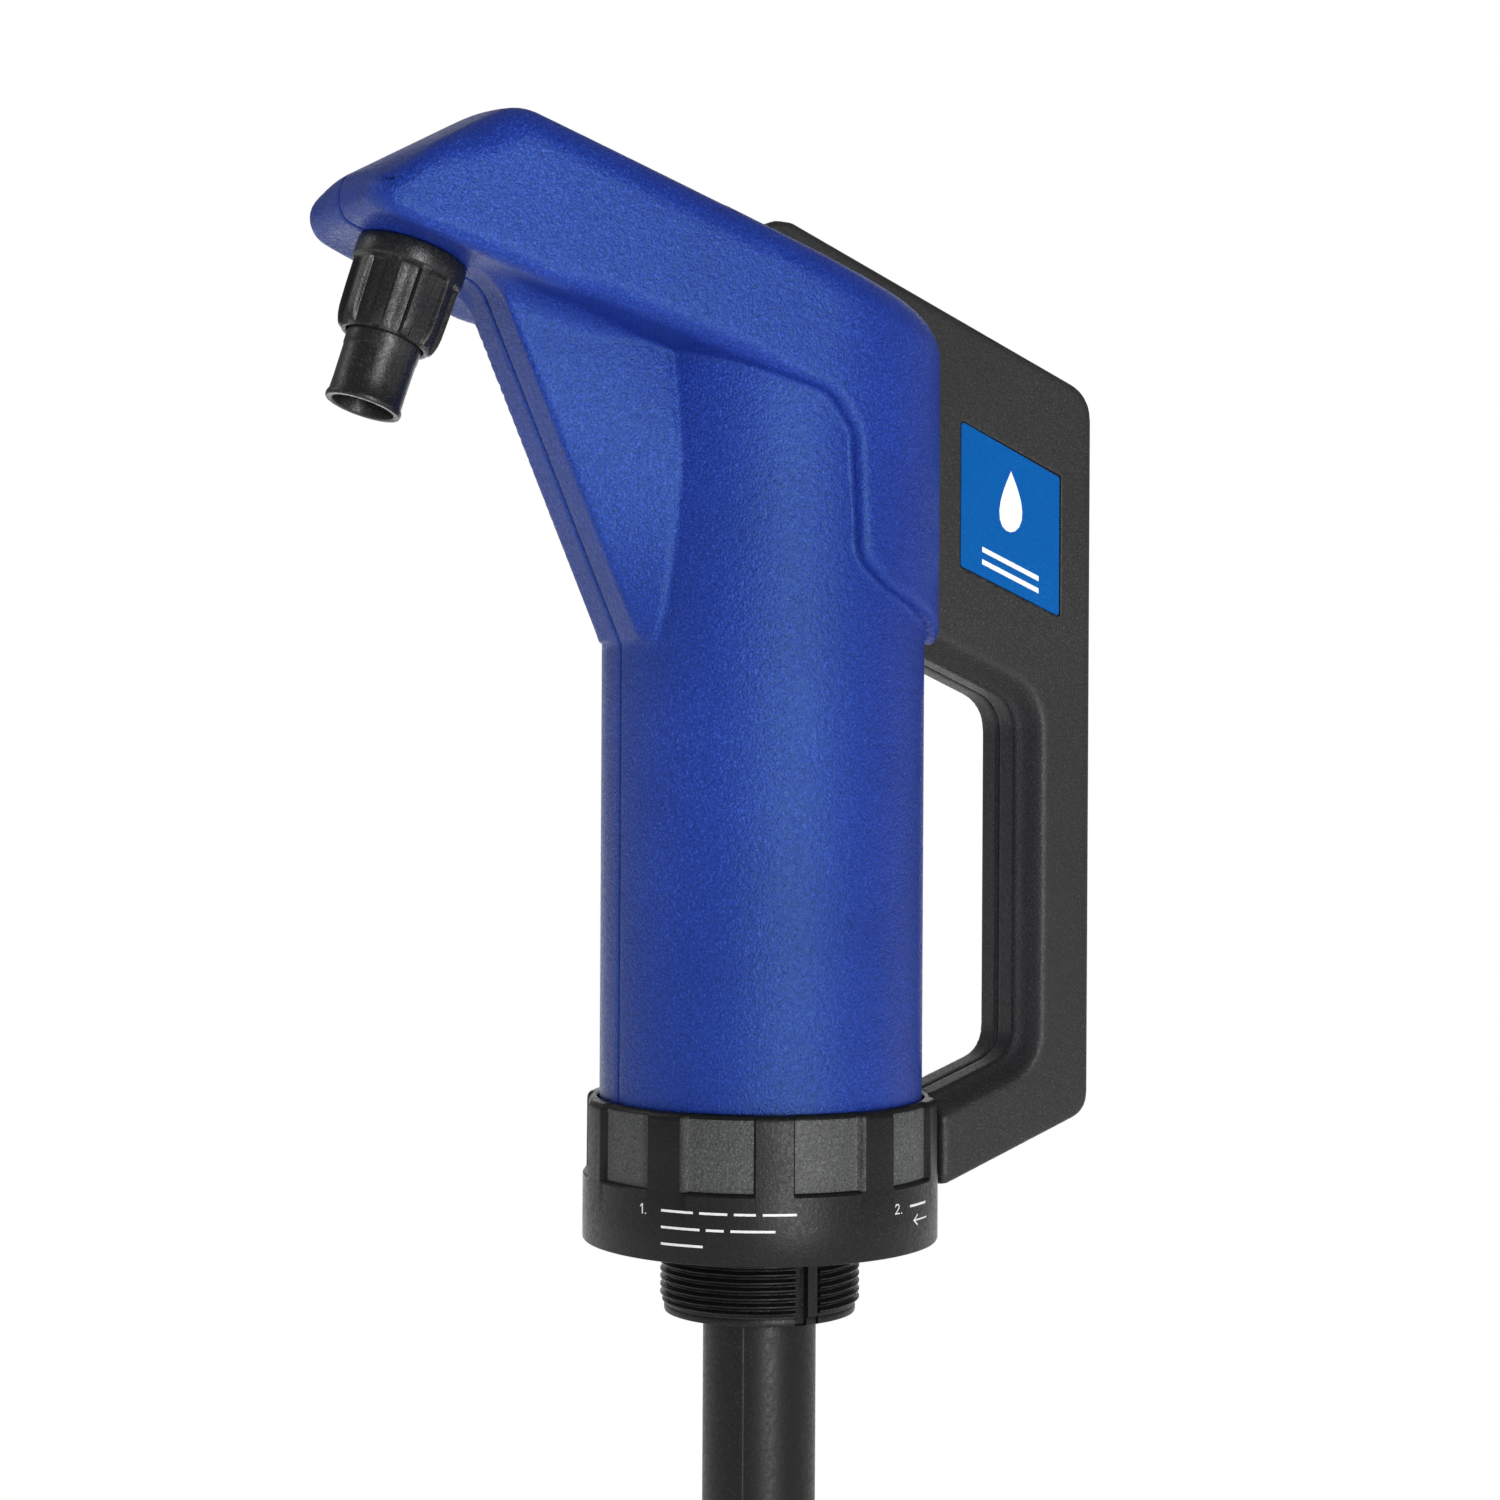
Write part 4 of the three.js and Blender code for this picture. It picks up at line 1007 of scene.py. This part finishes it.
def tube_gland():
    """The knurled nut at the suction tube's foot, round the drop tube."""
    profile = [
        (13.6, -433), (17.6, -433), (18.6, -432.6), (knurled(19.4, 0.3), -431.6),
        (knurled(19.6, 0.8), -429), (knurled(19.6, 0.8), -410), (knurled(19.6, 0.4), -408),
        (19.3, -406.6), (18.7, -406), (17.0, -406), (17.0, -420.4), (13.6, -420.4),
    ]
    verts, faces = spun(profile, around(144))
    gland = piece("tube_gland_body", verts, faces, "pump_body", "black_plastic", smooth_black,
                  replaces=["tube_gland"])
    sharpen(gland, 50)


outer_tube()
drop_tube()
tube_gland()


# ---------------------------------------------------------------- screws
def screw(name, place, body, node):
    """A pan-head screw with a cross recess, its head facing +Y."""
    sides = 48
    a = around(sides)
    shank = [(0.02, -10), (1.0, -9.6), (1.75, -8.6), (1.75, SCREW_SEAT + 0.3)]
    head = [(3.2, 0.3), (3.5, 0.6), (3.45, 1.4), (3.1, 2.1), (2.5, 2.5)]
    in_cross = np.abs(np.sin(2 * (a - math.pi / 4))) > 0.75
    recess = 0.5 + 1.2 * in_cross
    rows = shank + [(r, SCREW_SEAT + z) for r, z in head]
    rows += [(lambda _: recess, SCREW_SEAT + 2.65), (lambda _: recess * 0.8, SCREW_SEAT + 1.5)]
    verts, _ = spun(rows, a)
    floor, tip = len(verts), len(verts) + 1
    verts = np.concatenate([verts, [[0, 0, SCREW_SEAT + 1.3], [0, 0, -10.1]]])
    faces = grid_faces(len(rows), sides, closed=False)
    last = floor - sides
    faces += [(last + j, last + (j + 1) % sides, floor) for j in range(sides)]
    faces += [((j + 1) % sides, j, tip) for j in range(sides)]
    px, pz = place
    placed = np.stack([px + verts[:, 0], verts[:, 2], pz - verts[:, 1]], 1)
    obj = piece(name, placed, faces, body, "steel", steel, replaces=[node])
    sharpen(obj, 35)


for k, place in enumerate(CASING_SCREWS):
    screw(f"casing_screw_{k + 1}", place, "pump_body", f"housing_screw_{k + 1}")
for k, place in enumerate(LEVER_SCREWS):
    screw(f"grip_screw_{k + 1}", place, "lever", f"lever_screw_{k + 1}")

# ---------------------------------------------------------------- studio, metres
FLOOR_DROP = 0.39                       # below the object at rest, so that the drop tube can slide out
FLOOR_HALF = 30.0
LIGHT_AIM = (0, 0, 0.17)
SOFTBOXES = [                           # name, place, size and power
    ("key", (-0.22, -1.36, 0.2), (0.36, 0.9), 15.5),
    ("side", (-1.1, 0.75, 1.05), (0.5, 0.9), 3.0),
    ("back", (0.8, 1.5, 0.35), (1.3, 1.6), 7),
]
OBJECT_LIGHT, BACKDROP = 0.22, 1.0      # the world's strength on the object, and as it is seen


def paper():
    """White paper that glows as a light from below: dim near the object, a painted pool of shade round its
    foot, and brighter further off, to fade into the backdrop.
    """
    f = Finish("studio_floor")
    tone = f.ramp(f.noise(3.0), [(0.3, (0.9, 0.9, 0.9, 1)), (0.7, (0.93, 0.93, 0.93, 1))])
    away = f.node("ShaderNodeVectorMath", {0: f.place})
    away.operation = "LENGTH"
    glow = f.spread(away.outputs["Value"], 1.2, 2.9, 0.4, 0.8)
    return f.set(Base_Color=tone, Roughness=0.9, Emission_Color=(1, 1, 1, 1), Emission_Strength=glow)


def studio_floor():
    s, z = FLOOR_HALF, cad_low.z - FLOOR_DROP
    mesh = bpy.data.meshes.new("floor")
    mesh.from_pydata([(-s, -s, z), (s, -s, z), (s, s, z), (-s, s, z)], [], [(0, 1, 2, 3)])
    mesh.materials.append(paper())
    obj = new_object("floor", mesh)


def softbox(name, at, size, power):
    light = bpy.data.lights.new(name, "AREA")
    light.shape = "RECTANGLE"
    light.size, light.size_y = size
    light.energy = power
    obj = new_object(name, light)
    obj.location = at
    obj.rotation_euler = (Vector(LIGHT_AIM) - Vector(at)).to_track_quat("-Z", "Y").to_euler()


def studio_world():
    """A white world, weaker where it lights the object than where the camera sees it."""
    world = bpy.data.worlds.new("studio")
    world.use_nodes = True
    tree = world.node_tree
    background = tree.nodes["Background"]
    background.inputs["Color"].default_value = (1, 1, 1, 1)
    ray = tree.nodes.new("ShaderNodeLightPath").outputs["Is Camera Ray"]
    level = tree.nodes.new("ShaderNodeMapRange")
    level.inputs["To Min"].default_value = OBJECT_LIGHT
    level.inputs["To Max"].default_value = BACKDROP
    tree.links.new(ray, level.inputs["Value"])
    tree.links.new(level.outputs["Result"], background.inputs["Strength"])
    bpy.context.scene.world = world


studio_floor()
for row in SOFTBOXES:
    softbox(*row)
studio_world()
bpy.context.scene.view_settings.view_transform = "Standard"
bpy.context.scene.view_settings.look = "None"

# ---------------------------------------------------------------- camera, metres
DISTANCE, HEIGHT = 0.8473, 0.1454
ROLL = math.radians(0.31)
LENS_MM, SENSOR_MM = 67.92, 36.0
SIDE_SHIFT = -1 / 120                   # of the picture's width


def place_camera():
    back = Vector((math.cos(FRONT), math.sin(FRONT), 0))
    right = Vector((-math.sin(FRONT), math.cos(FRONT), 0))
    up = Vector((0, 0, 1))
    lens = bpy.data.cameras.new("camera")
    lens.sensor_width = SENSOR_MM
    lens.lens = LENS_MM
    lens.shift_x = SIDE_SHIFT
    lens.clip_end = 100
    camera = new_object("camera", lens)
    tilted_right = right * math.cos(ROLL) + up * math.sin(ROLL)
    tilted_up = up * math.cos(ROLL) - right * math.sin(ROLL)
    turn = Matrix((tilted_right, tilted_up, back)).transposed()
    camera.matrix_world = Matrix.Translation(back * DISTANCE + up * HEIGHT) @ turn.to_4x4()
    bpy.context.scene.camera = camera


place_camera()
